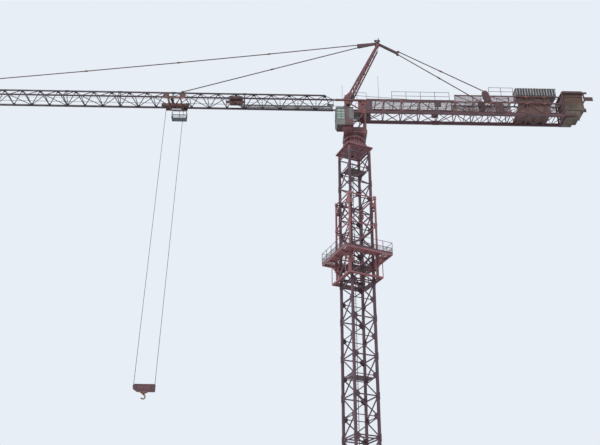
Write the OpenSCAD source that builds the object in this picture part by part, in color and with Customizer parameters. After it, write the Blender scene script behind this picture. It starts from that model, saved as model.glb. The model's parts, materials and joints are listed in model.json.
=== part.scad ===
// Tower crane with an inclined A-frame head, as a 1:10 scale model.
// One unit is one millimetre of the model, so ten millimetres are a tenth of a metre on the real crane.
// The mast stands on Z. The jib points towards -X and the counter-jib towards +X.

/* [Mast] */
// Distance between the centres of the mast legs
mast_w = 210; // [180:1:240]
// Side of a mast leg
leg_t = 20; // [14:1:26]
// Thickness of the zigzag bars of the mast
mast_brace_t = 8; // [5:0.5:11]
// Height of one mast section
section_h = 332; // [300:1:360]
// Height of the anchor stubs below the first section
anchor_h = 176; // [150:1:240]
// How far the mast stands turned from the jib, in degrees
mast_turn = 23; // [0:1:45]
// Width of the ladder inside the mast
ladder_w = 42; // [32:1:56]
// Distance from rung to rung
rung_gap = 30; // [24:1:50]

/* [Base] */
// Side of a foot plate
foot_w = 84; // [76:1:100]
// Thickness of a foot plate
foot_t = 8; // [5:0.5:12]
// Bolt circle of a foot plate
foot_pcd = 66; // [60:1:74]
// Diameter of a foundation bolt hole
foot_hole_d = 6; // [4:0.5:8]
// Height of the cross beams between the feet
cross_h = 34; // [24:1:50]
// Width of the cross beams
cross_w = 18; // [12:1:24]

/* [Climbing cage] */
// Distance between the centres of the cage posts
cage_w = 266; // [260:1:280]
// Side of a cage post
cage_t = 14; // [10:1:18]
// Height of the foot of the cage above the ground
cage_z = 2862; // [2700:1:3000]
// Height of the cage
cage_h = 816; // [700:2:900]
// Side of the large working platform
deck_w = 466; // [420:1:500]
// Height of the large platform above the foot of the cage
deck_up = 210; // [180:1:260]
// Side of the small lower platform
low_w = 336; // [320:1:352]
// Height of a guardrail
rail_h = 110; // [90:1:120]

/* [Slewing parts] */
// Outer radius of the slewing ring
ring_r = 98; // [90:1:106]
// Height of the seat between the mast and the slewing ring
seat_h = 190; // [160:1:220]
// Height of each half of the slewing ring
ring_h = 14; // [10:1:20]
// Gap between the halves of the slewing ring
ring_gap = 0.6; // [0.4:0.1:1]
// Side of the platform at the mast top
top_w = 264; // [250:1:280]

/* [Jib] */
// Distance between the bottom chords of the jib
jib_w = 168; // [150:1:190]
// Height from the bottom chords to the top chord
jib_h = 116; // [100:1:140]
// Length of one jib bay
jib_bay = 178; // [160:1:190]
// Side of a jib chord
chord_t = 12; // [9:0.5:15]
// Thickness of the jib lattice bars
jib_brace_t = 6; // [4:0.5:8]
// Height of the bottom chords of the jib above the slewing ring
jib_up = 395; // [380:1:430]
// Distance of the trolley from the mast centre
trolley_x = 1762; // [1500:1:2200]

/* [Counter-jib] */
// Length of the counter-jib from the mast centre
counter_l = 2370; // [2300:1:2450]
// Height of the counter-jib beams
counter_beam_h = 30; // [22:1:36]
// Height from the counter-jib beams to its deck
counter_h = 138; // [120:1:150]
// Number of counterweight slabs
slab_n = 4; // [2:1:4]
// Thickness of one counterweight slab
slab_t = 49; // [40:1:50]
// Height of a counterweight slab
slab_h = 290; // [240:1:300]

/* [Tower head] */
// Height of the A-frame above the jib chords
head_h = 806; // [720:1:860]
// How far the A-frame leans back
head_lean = 335; // [280:1:380]
// Side of an A-frame leg
head_t = 20; // [14:1:24]

/* [Cab] */
// Length of the cab
cab_l = 170; // [150:1:190]
// Width of the cab
cab_w = 115; // [100:1:130]
// Height of the cab
cab_h = 202; // [180:1:220]
// Wall of the cab
cab_wall = 4; // [3:0.5:6]

/* [Hook] */
// Distance between the two rope falls
fall_gap = 173; // [150:1:190]
// Diameter of a rope fall
rope_d = 4; // [3:0.5:5]
// Height of the hook block's sheaves above the ground
hook_z = 1892; // [1500:1:2400]
// Radius from a sheave's centre to its rope's centre
sheave_r = 24; // [20:1:28]

/* [Hidden] */

oxide = [0.36, 0.17, 0.16];
oxide_dark = [0.28, 0.15, 0.15];
brown = [0.38, 0.28, 0.25];
steel = [0.3, 0.29, 0.3];
grating = [0.42, 0.45, 0.42];
block_red = [0.7, 0.2, 0.12];

// Air between solids that seat on each other without touching
seat = 0.3;
// A little overlap inside one fused piece
eps = 0.5;

// Mast: three nodes of four sections each
sections_per_part = 4;
mast_parts = 3;
part_h = sections_per_part * section_h;
mast_top = anchor_h + mast_parts * part_h;
mast_half = mast_w / 2;
leg_in = mast_half - leg_t / 2;
leg_out = mast_half + leg_t / 2;
// Horizontals of the mast are thicker than its zigzag at the joints, and thinner at mid height
mast_bar_t = mast_brace_t + 1;
mast_thin_t = mast_brace_t - 2;
// Ladder landings, at mid height of every third section
landing_z = [for (k = [2.5:3:11.5]) anchor_h + k * section_h];
landing_t = 3;
// Bars stay this far inside the ends of a part, so that parts meet only at their legs
joint_in = 10;

// Climbing cage
cage_half = cage_w / 2;
cage_out = cage_half + cage_t / 2;
deck_z = cage_z + deck_up;
deck_t = 5;
joist_t = 10;
post_t = 4;

// Slewing parts
// The seat's square collar stands on stub legs this far above the mast's top
stub_h = 54;
seat_z = mast_top + stub_h;
seat_top = mast_top + seat_h;
ring_upper_z = seat_top + ring_h + ring_gap;
table_z = ring_upper_z + ring_h;
table_t = 12;
head_base_z = table_z + table_t;
jib_z = table_z + jib_up;
// Tower head posts
head_x0 = -78;
head_x1 = 112;
head_y = 76;
post_w = 16;
pin_r = 2.5;
// Hole of a pinned eye, with running clearance
eye_hole_r = pin_r + 0.1;

// Jib: bottom joints lie at jib_root_x - k * jib_bay, top joints half a bay further out
jib_root_x = -190;
// Pins at the foot of the jib
fork_x = jib_root_x + 20;
jib_bays_root = 9;
jib_bays_middle = 10;
jib_bays_outer = 10;
jib_bays = jib_bays_root + jib_bays_middle + jib_bays_outer;
jib_half = jib_w / 2;
jib_top_z = jib_z + jib_h;
tie_bay_inner = 8;
tie_bay_outer = 24;
ledge_w = 8;
ledge_t = 2;

// Counter-jib
counter_x0 = head_x1 + post_w / 2;
counter_z = jib_z + 2 - counter_h;
counter_half = 83;
counter_top_z = counter_z + counter_h;
counter_raise = 79;
counter_beam_w = 15;
// Reach of the counterweights and their frame, and the space in front of them
counter_tail = 292;
slab_x0 = counter_l - counter_tail;
counter_frame_end = slab_x0 - 12;
slab_gap = 0.4;
// The outer slabs are shorter at the foot
slab_cut = [0, 0, 24, 88];
// Centre of the rails that the slabs hang on
slab_rail_z = counter_top_z + 128;
slab_rail_y = 92;
slab_rail_h = 16;
// Well of the hoist winch in the counter-jib: its length, and its distance from the frame's end
winch_l = 336;
winch_back = 130;
winch_x1 = counter_frame_end - winch_back;
winch_x0 = winch_x1 - winch_l;

// A-frame
foot_x = -65;
foot_z = jib_z + 14;
apex_x = foot_x + head_lean;
apex_z = jib_z + head_h;
apex_pin_r = 4;
// The A-frame's cap lies this far below the apex pin
cap_drop = 24;
tie_t = 7;
// Eyes of the ties, a little thicker than their bars
tie_eye_t = tie_t + 0.4;
tie_eye_r = 6;
// Plates of the forks that hold the ties, and the clearance on each side of an eye
link_t = 3;
fork_gap = 0.3;
fork_y = tie_eye_t / 2 + fork_gap + link_t / 2;
fork_pin_l = 2 * fork_y + link_t + 2;
// The counter-jib ties spread sideways, so their forks are wider by this on each side
fork_spread = 1;
counter_fork_y = fork_y + fork_spread;
// Where the two counter-jib ties leave their link, how far they stand apart there, and the reach of its forks
counter_link = [apex_x + 204, 0, apex_z - 126];
counter_spread = 22;
tie_in = 14;

// Where the counter-jib ties end, this far before the winch
tie_before_winch = 290;
counter_tie_x = winch_x0 - tie_before_winch;
// Handrails on the two levels of the counter-jib, each from its start to its end
front_rail_in = 260;
front_rail_l = 570;
front_rail_x0 = counter_x0 + front_rail_in;
front_rail = [front_rail_x0, front_rail_x0 + front_rail_l];
rear_rail = [counter_tie_x + 40, winch_x0 - 10];

function bottom_joint(k) = jib_root_x - k * jib_bay;
function top_joint(k) = bottom_joint(k) - jib_bay / 2;

// A straight bar of rectangular section from point a to point b
module bar(a, b, w, h) {
  d = b - a;
  len = norm(d);
  translate(a) rotate([0, acos(d[2] / len), atan2(d[1], d[0])])
    translate([-h / 2, -w / 2, 0]) cube([h, w, len]);
}

// A box from its lowest corner to its highest corner
module box(lo, hi) {
  translate(lo) cube(hi - lo);
}

// The four sides of the mast, each drawn on the side that faces -Y
module four_sides() {
  for (q = [0:3]) rotate([0, 0, 90 * q]) children();
}

module turned() {
  rotate([0, 0, mast_turn]) children();
}

// Cuts the bars of one side off just before the post of the next side
module up_to_next_post(half, post, z0, z1) {
  intersection() {
    union() children();
    box([-half - post / 2, -half - post / 2, z0], [half - post / 2 - seat, -half + post / 2, z1]);
  }
}

// One side of a mast section: a horizontal, a zigzag of two bars and a thin bar at mid height
module mast_side(z, first, last) {
  y = -mast_half;
  z0 = z + (first ? joint_in : 0);
  zm = z + section_h / 2;
  z1 = z + section_h - (last ? joint_in : 0);
  bar([-mast_half, y, z0], [mast_half, y, z0], mast_bar_t, mast_bar_t);
  bar([-mast_half, y, z0], [mast_half, y, zm], mast_brace_t, mast_brace_t);
  bar([mast_half, y, zm], [-mast_half, y, z1], mast_brace_t, mast_brace_t);
  bar([-mast_half, y, zm], [mast_half, y, zm], mast_thin_t, mast_thin_t);
  if (last) bar([-mast_half, y, z1], [mast_half, y, z1], mast_bar_t, mast_bar_t);
}

// Four sides that stand next to each other, each one leg with the bars up to the next leg
module mast_part(index) {
  z0 = anchor_h + index * part_h;
  turned() four_sides() {
    translate([-leg_out, -leg_out, z0]) cube([leg_t, leg_t, part_h]);
    up_to_next_post(mast_half, leg_t, z0, z0 + part_h)
      for (k = [0:sections_per_part - 1])
        mast_side(z0 + k * section_h, k == 0, k == sections_per_part - 1);
  }
}

module mast_lower() { color(oxide) mast_part(0); }
module mast_middle() { color(oxide) mast_part(1); }
module mast_upper() { color(oxide) mast_part(2); }

// Four feet with their anchor stubs, and the two beams that cross between them
module base_frame() {
  cross_reach = (mast_half - foot_w / 2) * sqrt(2) - seat;
  gusset_h = 62;
  gusset_t = 6;
  color(oxide_dark) turned() difference() {
    union() {
      for (q = [0:3]) rotate([0, 0, 90 * q]) {
        translate([-mast_half - foot_w / 2, -mast_half - foot_w / 2, 0]) cube([foot_w, foot_w, foot_t]);
        translate([-leg_out, -leg_out, 0]) cube([leg_t, leg_t, anchor_h]);
        // Gusset between the stub and its foot plate
        translate([-mast_half, -mast_half, foot_t - eps]) rotate([90, 0, 45])
          translate([0, 0, -gusset_t / 2]) linear_extrude(gusset_t)
            polygon([[-foot_w / 2 - 6, 0], [foot_w / 2 + 6, 0],
              [leg_t / 2, gusset_h], [-leg_t / 2, gusset_h]]);
        up_to_next_post(mast_half, leg_t, 0, anchor_h)
          bar([-mast_half, -mast_half, anchor_h - joint_in], [mast_half, -mast_half, anchor_h - joint_in],
            mast_bar_t, mast_bar_t);
      }
      for (q = [45, 135]) rotate([0, 0, q])
        translate([-cross_reach, -cross_w / 2, 0]) cube([2 * cross_reach, cross_w, cross_h]);
    }
    for (q = [0:3]) rotate([0, 0, 90 * q]) for (a = [0:3])
      translate([-mast_half, -mast_half, -1]) rotate([0, 0, 90 * a]) translate([foot_pcd / 2, 0, 0])
        cylinder(d = foot_hole_d, h = foot_t + 2, $fn = 32);
  }
}

// Ladder inside the mast, held to the horizontals of one side, with its landings
module ladder() {
  y1 = -mast_half + mast_bar_t / 2;
  y0 = y1 + 22;
  rail = 4;
  landing_w = 2 * (leg_in - seat);
  landing_l = 130;
  function joint_z(k) = anchor_h + k * section_h + (k % sections_per_part == 0 ? joint_in : 0);
  z0 = anchor_h + 2 * joint_in;
  z1 = mast_top - 2 * joint_in;
  color(steel) turned() rotate([0, 0, 180]) {
    for (s = [-1, 1]) {
      box([s * ladder_w / 2 - rail / 2, y0, z0], [s * ladder_w / 2 + rail / 2, y0 + rail, z1]);
      for (k = [1:sections_per_part * mast_parts - 1])
        box([s * ladder_w / 2 - rail / 2, y1, joint_z(k) - 3],
          [s * ladder_w / 2 + rail / 2, y0 + eps, joint_z(k) + 3]);
    }
    for (z = landing_z) {
      box([-landing_w / 2, y0 + rail + seat, z - landing_t], [landing_w / 2, y0 + landing_l, z]);
      for (s = [-1, 1])
        box([s * (landing_w / 2 - 2) - 2, y0 + rail + seat, z - 2 * landing_t],
          [s * (landing_w / 2 - 2) + 2, y0 + landing_l, z]);
    }
    for (z = [z0 + rung_gap:rung_gap:z1 - rung_gap / 2])
      box([-ladder_w / 2, y0 + 1, z - 1], [ladder_w / 2, y0 + 3, z + 1]);
  }
}

// Climbing cage round the mast, with guide shoes on the mast legs
module cage_frame() {
  top = cage_z + cage_h;
  levels = [cage_z + joint_in, deck_z + 40, (deck_z + top) / 2, top - joint_in];
  shoe_h = 44;
  color(oxide) turned() four_sides() {
    translate([-cage_out, -cage_out, cage_z]) cube([cage_t, cage_t, cage_h]);
    up_to_next_post(cage_half, cage_t, cage_z, top) {
      for (z = levels) bar([-cage_half, -cage_half, z], [cage_half, -cage_half, z], 9, 9);
      for (i = [0:2])
        bar([-cage_half, -cage_half, levels[i]], [cage_half, -cage_half, levels[i + 1]], 8, 8);
    }
    // Guide shoes fill the space between a cage post and a mast leg
    for (z = [cage_z + 110, top - 110]) for (s = [0, 1]) rotate([0, 0, s * 90]) mirror([0, s, 0])
      box([-cage_out + 1, -cage_out + 1, z], [-leg_out - seat, -leg_in - 4, z + shoe_h]);
  }
}

// A square ring of plate, from the inner side to the outer side
module square_ring(inner, outer, z, t) {
  translate([0, 0, z]) difference() {
    translate([-outer / 2, -outer / 2, 0]) cube([outer, outer, t]);
    translate([-inner / 2, -inner / 2, -1]) cube([inner, inner, t + 2]);
  }
}

// One of the four deck panels round a square opening, with a rim along its outer edges.
// With slats, its corner is an open frame of that many bars instead of a plate.
module deck_panel(inner, outer, z, rim_w, rim_h, slats = 0) {
  plate_x = slats > 0 ? -inner / 2 : -outer / 2;
  slat_gap = (outer - inner) / 2 / (slats + 1);
  box([plate_x, -outer / 2, z], [inner / 2 - seat, -inner / 2, z + deck_t]);
  box([-outer / 2, -outer / 2, z - rim_h], [inner / 2 - seat, -outer / 2 + rim_w, z + deck_t]);
  box([-outer / 2, -outer / 2, z - rim_h], [-outer / 2 + rim_w, -inner / 2, z + deck_t]);
  for (i = [1:1:slats])
    translate([-outer / 2 + 1, -outer / 2 + i * slat_gap, z]) cube([plate_x + outer / 2, 5, deck_t - 1]);
}

module cage_platform() {
  inner = 2 * cage_out + 2 * seat;
  brace_drop = 86;
  color(oxide) turned() four_sides() {
    deck_panel(inner, deck_w, deck_z, joist_t, joist_t, 3);
    for (x = [-deck_w / 4, 0, deck_w / 4])
      box([x - 4, -deck_w / 2 + joist_t - eps, deck_z - joist_t], [x + 4, -inner / 2, deck_z + eps]);
    for (s = [-1, 1]) {
      bar([s * cage_half, -deck_w / 2 + 12, deck_z - 6],
        [s * cage_half, -inner / 2 - 4, deck_z - brace_drop], 8, 8);
      box([s * cage_half - 5, -inner / 2 - 10, deck_z - brace_drop - 12],
        [s * cage_half + 5, -inner / 2, deck_z + eps]);
    }
  }
}

// Guardrail round a square platform: posts, two rails and a toe board
module guardrail(w, z, h) {
  n = floor(w / 90);
  step = (w - post_t) / n;
  end = w / 2 - post_t - seat;
  four_sides() {
    for (k = [0:n - 1])
      box([-w / 2 + k * step, -w / 2, z], [-w / 2 + k * step + post_t, -w / 2 + post_t, z + h]);
    for (u = [h - post_t, h / 2])
      box([-w / 2, -w / 2 + 0.5, z + u], [end, -w / 2 + 3.5, z + u + 3]);
    box([-w / 2, -w / 2 + 1, z], [end, -w / 2 + 3, z + 15]);
  }
}

module cage_guardrail() {
  color(oxide) turned() guardrail(deck_w, deck_z + deck_t, rail_h);
}

module lower_platform() {
  inner = 2 * cage_out + 2 * seat;
  z = cage_z + 4;
  color(oxide) turned() four_sides() {
    deck_panel(inner, low_w, z, 6, 8);
    // Hangers up to the large platform
    for (x = [-low_w / 2, low_w / 2 - 71])
      box([x, -low_w / 2, cage_z], [x + 6, -low_w / 2 + 5, deck_z]);
  }
}

// Crosshead beam with its two shoes on the mast legs, and the jack above it
module climbing_jack() {
  beam_z = cage_z + 30;
  beam_h = 26;
  color(oxide_dark) turned() {
    box([-mast_half, leg_out, beam_z], [mast_half, leg_out + 10, beam_z + beam_h]);
    for (s = [-1, 1])
      box([s * mast_half - 10, leg_out, beam_z - 12],
        [s * mast_half + 10, leg_out + 5, beam_z + beam_h + 12]);
    translate([0, leg_out + 5, beam_z + beam_h - eps]) cylinder(r = 3.5, h = 160, $fn = 24);
    translate([0, leg_out + 5, beam_z + beam_h + 120]) cylinder(r = 4.8, h = 130, $fn = 24);
  }
}

module top_platform() {
  inner = 2 * leg_out + 2 * seat;
  z = seat_z + 8;
  color(oxide) turned() four_sides() deck_panel(inner, top_w, z, 6, 8);
}

// Seat on four stub legs, which narrows from the square mast to the round slewing ring
module slewing_seat() {
  foot = 2 * leg_out;
  collar = 26;
  rib_t = 9;
  reach = ring_r - rib_t;
  z0 = seat_z + collar / 2;
  z1 = seat_top - collar / 2;
  color(oxide) {
    turned() {
      square_ring(foot - 2 * leg_t, foot, seat_z, collar);
      four_sides() box([-leg_out, -leg_out, mast_top], [-leg_in, -leg_in, seat_z + eps]);
      four_sides() for (a = [-0.9, -0.45, 0, 0.45])
        bar([a * mast_half, -mast_half, z0], [reach * sin(50 * a), -reach * cos(50 * a), z1],
          rib_t, rib_t);
    }
    translate([0, 0, seat_top - collar]) difference() {
      cylinder(r = ring_r, h = collar, $fn = 96);
      translate([0, 0, -1]) cylinder(r = ring_r - 18, h = collar + 2, $fn = 96);
    }
  }
}

module slewing_ring_lower() {
  color(steel) translate([0, 0, seat_top]) difference() {
    cylinder(r = ring_r, h = ring_h, $fn = 96);
    translate([0, 0, -1]) cylinder(r = ring_r - 20, h = ring_h + 2, $fn = 96);
  }
}

module slewing_ring_upper() {
  color(steel) translate([0, 0, ring_upper_z]) difference() {
    cylinder(r = ring_r - 4, h = ring_h, $fn = 96);
    translate([0, 0, -1]) cylinder(r = ring_r - 22, h = ring_h + 2, $fn = 96);
  }
}

module turntable() {
  color(oxide) {
    difference() {
      box([head_x0 - 24, -head_y - 26, table_z], [head_x1 + 12, head_y + 26, head_base_z]);
      translate([0, 0, table_z - 1]) cylinder(r = ring_r - 30, h = table_t + 2, $fn = 64);
    }
    // Arm that carries the cab beside the head
    box([-120, -head_y - 110, table_z + 2], [-20, -head_y - 25, head_base_z]);
  }
}

module slewing_drives() {
  color(steel) for (p = [[-36, 50], [64, -50]]) translate([p[0], p[1], head_base_z]) {
    cylinder(r = 13, h = 24, $fn = 32);
    translate([0, 0, 24 - eps]) cylinder(r = 9.5, h = 44, $fn = 32);
    translate([0, 0, 68 - 2 * eps]) cylinder(r = 11, h = 6, $fn = 32);
  }
}

// Braced frame between the turntable, the jib and the counter-jib
module tower_head() {
  beam_h = 16;
  web_l = 67;
  foot_web_h = 66;
  color(oxide) {
    for (s = [-1, 1]) {
      y = s * head_y;
      for (x = [head_x0, head_x1])
        box([x - post_w / 2, y - post_w / 2, head_base_z], [x + post_w / 2, y + post_w / 2, jib_z + eps]);
      box([fork_x + 14, s * jib_half - 9, jib_z - beam_h / 2],
        [head_x1 + 8, s * jib_half + 9, jib_z + beam_h / 2]);
      for (c = [-1, 1])
        box([fork_x - 8, s * jib_half + c * 7 - 2, jib_z - beam_h / 2],
          [fork_x + 15, s * jib_half + c * 7 + 2, jib_z + beam_h / 2]);
      // Web plate in front of the counter-jib
      box([head_x1 - web_l, y - 3, counter_z - 4], [head_x1, y + 3, jib_z]);
      translate([fork_x, s * jib_half + 11, jib_z]) rotate([90, 0, 0]) cylinder(r = pin_r, h = 22, $fn = 24);
      box([head_x0, y - 3, head_base_z], [head_x1, y + 3, head_base_z + foot_web_h]);
      bar([head_x0, y, head_base_z + 10], [head_x1, y, counter_z], 9, 9);
      bar([head_x1, y, counter_z], [head_x0, y, jib_z - 8], 9, 9);
      bar([head_x0, y, counter_z], [head_x1, y, counter_z], 12, 12);
    }
    for (x = [head_x0, head_x1], z = [counter_z, jib_z])
      bar([x, -head_y, z], [x, head_y, z], 12, 11);
    for (x = [head_x0, head_x1])
      bar([x, -head_y, head_base_z + 10], [x, head_y, counter_z - 10], 8, 8);
  }
}

cab_x0 = -185;
cab_y0 = -210;
cab_z = head_base_z;
window_sill = 62;
window_head = 16;

// The side windows run from here to here, the front window starts lower and ends lower than they do
side_window = [12, cab_l * 0.52];
front_window_in = 10;
front_drop = 20;
front_head = 6;

module cab_shell() {
  color([0.5, 0.5, 0.5]) translate([cab_x0, cab_y0, cab_z]) {
    difference() {
      translate([0, cab_w, 0]) rotate([90, 0, 0]) linear_extrude(cab_w)
        polygon([[0, 26], [14, 0], [cab_l, 0], [cab_l, cab_h], [6, cab_h], [0, cab_h - 10]]);
      box([cab_wall, cab_wall, 26], [cab_l - cab_wall, cab_w - cab_wall, cab_h - 10]);
      box([side_window[0], -1, window_sill], [side_window[1], cab_w + 1, cab_h - window_head]);
      box([-1, front_window_in, window_sill - front_drop],
        [cab_wall + 4, cab_w - front_window_in, cab_h - window_head - front_head]);
    }
  }
}

module cab_glazing() {
  z0 = window_sill + seat;
  z1 = cab_h - window_head - seat;
  pane_t = 2;
  color([0.62, 0.72, 0.68]) translate([cab_x0, cab_y0, cab_z]) {
    for (y = [1, cab_w - pane_t - 1])
      box([side_window[0] + seat, y, z0], [side_window[1] - seat, y + pane_t, z1]);
    box([1, front_window_in + seat, z0 - front_drop],
      [1 + pane_t, cab_w - front_window_in - seat, z1 - front_head]);
  }
}

// Leaning ladder frame of two legs that close towards the apex
module a_frame() {
  top_y = 14;
  rungs = 12;
  foot_y = head_y + 6;
  color(oxide) {
    for (s = [-1, 1]) {
      bar([foot_x, s * foot_y, foot_z + 8], [apex_x, s * top_y, apex_z - 30], head_t, head_t);
      box([foot_x - 34, s * foot_y - 12, jib_z + 8], [foot_x + 34, s * foot_y + 12, jib_z + 14]);
      // Gussets on both sides of the leg
      for (c = [-1, 1]) translate([foot_x, s * foot_y + c * 11 + 2, jib_z]) rotate([90, 0, 0])
        linear_extrude(4) polygon([[-34, 13], [34, 13], [54, 78], [46, 86], [20, 86], [-20, 44]]);
    }
    box([apex_x - 16, -26, apex_z - 44], [apex_x + 16, 26, apex_z - cap_drop]);
    for (k = [1:rungs]) {
      t = k / (rungs + 1);
      y = foot_y + (top_y - foot_y) * t;
      x = foot_x + head_lean * t;
      z = foot_z + 8 + (apex_z - 38 - foot_z) * t;
      bar([x, -y, z], [x, y, z], 8, 8);
    }
  }
}

// Two cheeks on the A-frame with the apex pin between them, and a slim post on top
module apex_head() {
  color(oxide_dark) {
    for (s = [-1, 1])
      translate([apex_x, s * 15 + 2, apex_z - cap_drop]) rotate([90, 0, 0]) linear_extrude(4)
        polygon([[-24, 0], [24, 0], [20, 30], [8, 42], [-8, 42], [-18, 30]]);
    translate([apex_x, 17, apex_z]) rotate([90, 0, 0]) cylinder(r = apex_pin_r, h = 34, $fn = 32);
    // Floor between the cheeks, narrow under the counter-jib link
    box([apex_x - 22, -15, apex_z - cap_drop], [apex_x + 6, 15, apex_z - cap_drop + 5]);
    box([apex_x + 6 - eps, -6, apex_z - cap_drop], [apex_x + 22, 6, apex_z - cap_drop + 5]);
    translate([apex_x + 16, 0, apex_z - cap_drop + 5 - eps]) cylinder(r = 1.8, h = 100, $fn = 16);
  }
}

// A round eye on the Y axis at point p, of thickness t and outer radius r
module eye(p, r, t) {
  translate([p[0], p[1] + t / 2, p[2]]) rotate([90, 0, 0]) cylinder(r = r, h = t, $fn = 32);
}

// The hole through an eye
module eye_hole(p, r) {
  translate([p[0], p[1] + 20, p[2]]) rotate([90, 0, 0]) cylinder(r = r, h = 40, $fn = 32);
}

// Paired plates from the apex: a yoke for the jib ties and a link for the counter-jib ties
module tie_links() {
  apex = [apex_x, 0, apex_z];
  yoke_y = fork_y;
  link_y = yoke_y + link_t + 1;
  color(oxide_dark) {
    difference() {
      union() for (s = [-1, 1])
        translate([0, s * yoke_y + link_t / 2, 0]) rotate([90, 0, 0]) linear_extrude(link_t)
          polygon([[apex_x + 12, apex_z - 4], [apex_x + 4, apex_z + 11],
            [outer_start[0] - 8, outer_start[2] + 7], [outer_start[0] - 9, outer_start[2] - 4],
            [inner_start[0] - 7, inner_start[2] - 7], [inner_start[0] + 10, inner_start[2] - 6],
            [apex_x - 2, apex_z - 12]]);
      eye_hole(apex, apex_pin_r + 0.1);
    }
    for (p = [outer_start, inner_start]) eye(p, pin_r, 2 * yoke_y + link_t + 3);
    difference() {
      union() {
        for (s = [-1, 1]) {
          bar([apex_x, s * link_y, apex_z], [counter_link[0], s * link_y, counter_link[2]], link_t, 20);
          eye([apex_x, s * link_y, apex_z], 11, link_t);
        }
        bar(counter_link - [0, counter_spread + 4, 0], counter_link + [0, counter_spread + 4, 0], 14, 14);
        for (s = [-1, 1], c = [-1, 1])
          box(counter_link + [0, s * counter_spread + c * counter_fork_y - link_t / 2, -8],
            counter_link + [tie_in + 6, s * counter_spread + c * counter_fork_y + link_t / 2, 8]);
      }
      eye_hole(apex, apex_pin_r + 0.1);
    }
    for (s = [-1, 1]) eye(counter_link + [tie_in, s * counter_spread, 0], pin_r, fork_pin_l + 2);
  }
}

// A tie of straight lengths between points, with a coupling at each inner point
module tie_bars(points) {
  last = len(points) - 1;
  coupling_l = 22;
  difference() {
    union() {
      for (i = [0:last - 1]) bar(points[i], points[i + 1], tie_t, tie_t);
      for (i = [1:1:last - 1]) {
        span = points[i + 1] - points[i - 1];
        reach = span * coupling_l / 2 / norm(span);
        bar(points[i] - reach, points[i] + reach, tie_t + 3, tie_t + 4);
      }
      for (p = [points[0], points[last]]) eye(p, tie_eye_r, tie_eye_t);
    }
    for (p = [points[0], points[last]]) eye_hole(p, eye_hole_r);
  }
}

outer_end = [top_joint(tie_bay_outer), 0, jib_top_z + chord_t / 2 + 9];
inner_end = [top_joint(tie_bay_inner), 0, jib_top_z + chord_t / 2 + 9];
outer_start = [apex_x - 200, 0, apex_z - 24];
inner_start = [apex_x - 198, 0, apex_z - 58];
// The long tie hangs a little below the straight line
outer_sag = 18;
outer_lengths = 5;
// The walkway in the jib ends in front of the trolley winch
walkway_end = bottom_joint(5) - 38;

function outer_point(t) = outer_start + (outer_end - outer_start) * t - [0, 0, 4 * outer_sag * t * (1 - t)];

module outer_tie() {
  color(oxide_dark) tie_bars([for (i = [0:outer_lengths]) outer_point(i / outer_lengths)]);
}

module inner_tie() {
  color(oxide_dark) tie_bars([for (i = [0:2]) inner_start + (inner_end - inner_start) * i / 2]);
}

counter_tie_z = counter_top_z + counter_raise + 52;

module counter_tie(s) {
  a = counter_link + [tie_in, s * counter_spread, 0];
  b = [counter_tie_x, s * counter_half, counter_tie_z];
  color(oxide_dark) tie_bars([a, (a + b) / 2, b]);
}

module counter_tie_near() { counter_tie(-1); }
module counter_tie_far() { counter_tie(1); }

// One stretch of the jib from bay k0 to bay k1, with a frame at each end
module jib_stretch(k0, k1) {
  x0 = bottom_joint(k0);
  x1 = bottom_joint(k1);
  inset = 8;
  function bx(k) = bottom_joint(k) + (k == k0 ? -inset : (k == k1 ? inset : 0));
  chord_x0 = k0 == 0 ? top_joint(0) + 8 : x0;
  chord_x1 = k1 == jib_bays ? top_joint(k1 - 1) - 8 : x1;
  box([chord_x1, -chord_t / 2, jib_top_z - chord_t / 2], [chord_x0, chord_t / 2, jib_top_z + chord_t / 2]);
  for (s = [-1, 1]) {
    box([x1, s * jib_half - chord_t / 2, jib_z - chord_t / 2],
      [x0, s * jib_half + chord_t / 2, jib_z + chord_t / 2]);
    // Ledge that the trolley wheels run on
    box([x1, s * (jib_half + chord_t / 2 + ledge_w / 2 - eps) - ledge_w / 2, jib_z - chord_t / 2],
      [x0, s * (jib_half + chord_t / 2 + ledge_w / 2 - eps) + ledge_w / 2, jib_z - chord_t / 2 + ledge_t]);
    for (k = [k0:k1 - 1]) {
      bar([bx(k), s * jib_half, jib_z], [top_joint(k), 0, jib_top_z], jib_brace_t, jib_brace_t);
      bar([top_joint(k), 0, jib_top_z], [bx(k + 1), s * jib_half, jib_z], jib_brace_t, jib_brace_t);
    }
  }
  for (k = [k0:k1]) bar([bx(k), -jib_half, jib_z], [bx(k), jib_half, jib_z], jib_brace_t, jib_brace_t);
  for (k = [k0:k1 - 1])
    bar([bx(k), (k % 2 == 0 ? -1 : 1) * jib_half, jib_z],
      [bx(k + 1), (k % 2 == 0 ? 1 : -1) * jib_half, jib_z], jib_brace_t - 1, jib_brace_t - 1);
}

// Lug on the top chord for the end of a tie
module tie_lug(p) {
  for (s = [-1, 1])
    box([p[0] - 12, s * fork_y - link_t / 2, jib_top_z + chord_t / 2 - eps],
      [p[0] + 12, s * fork_y + link_t / 2, p[2] + 6]);
  eye(p, pin_r, fork_pin_l);
}

module jib_root() {
  color(oxide) {
    jib_stretch(0, jib_bays_root);
    tie_lug(inner_end);
    // Eyes at the foot of the jib
    for (s = [-1, 1]) difference() {
      box([jib_root_x - eps, s * jib_half - 4.7, jib_z - 6], [fork_x + 7, s * jib_half + 4.7, jib_z + 6]);
      translate([fork_x, s * jib_half + 10, jib_z]) rotate([90, 0, 0])
        cylinder(r = eye_hole_r, h = 20, $fn = 24);
    }
  }
}

module jib_middle() { color(oxide) jib_stretch(jib_bays_root, jib_bays_root + jib_bays_middle); }

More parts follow.
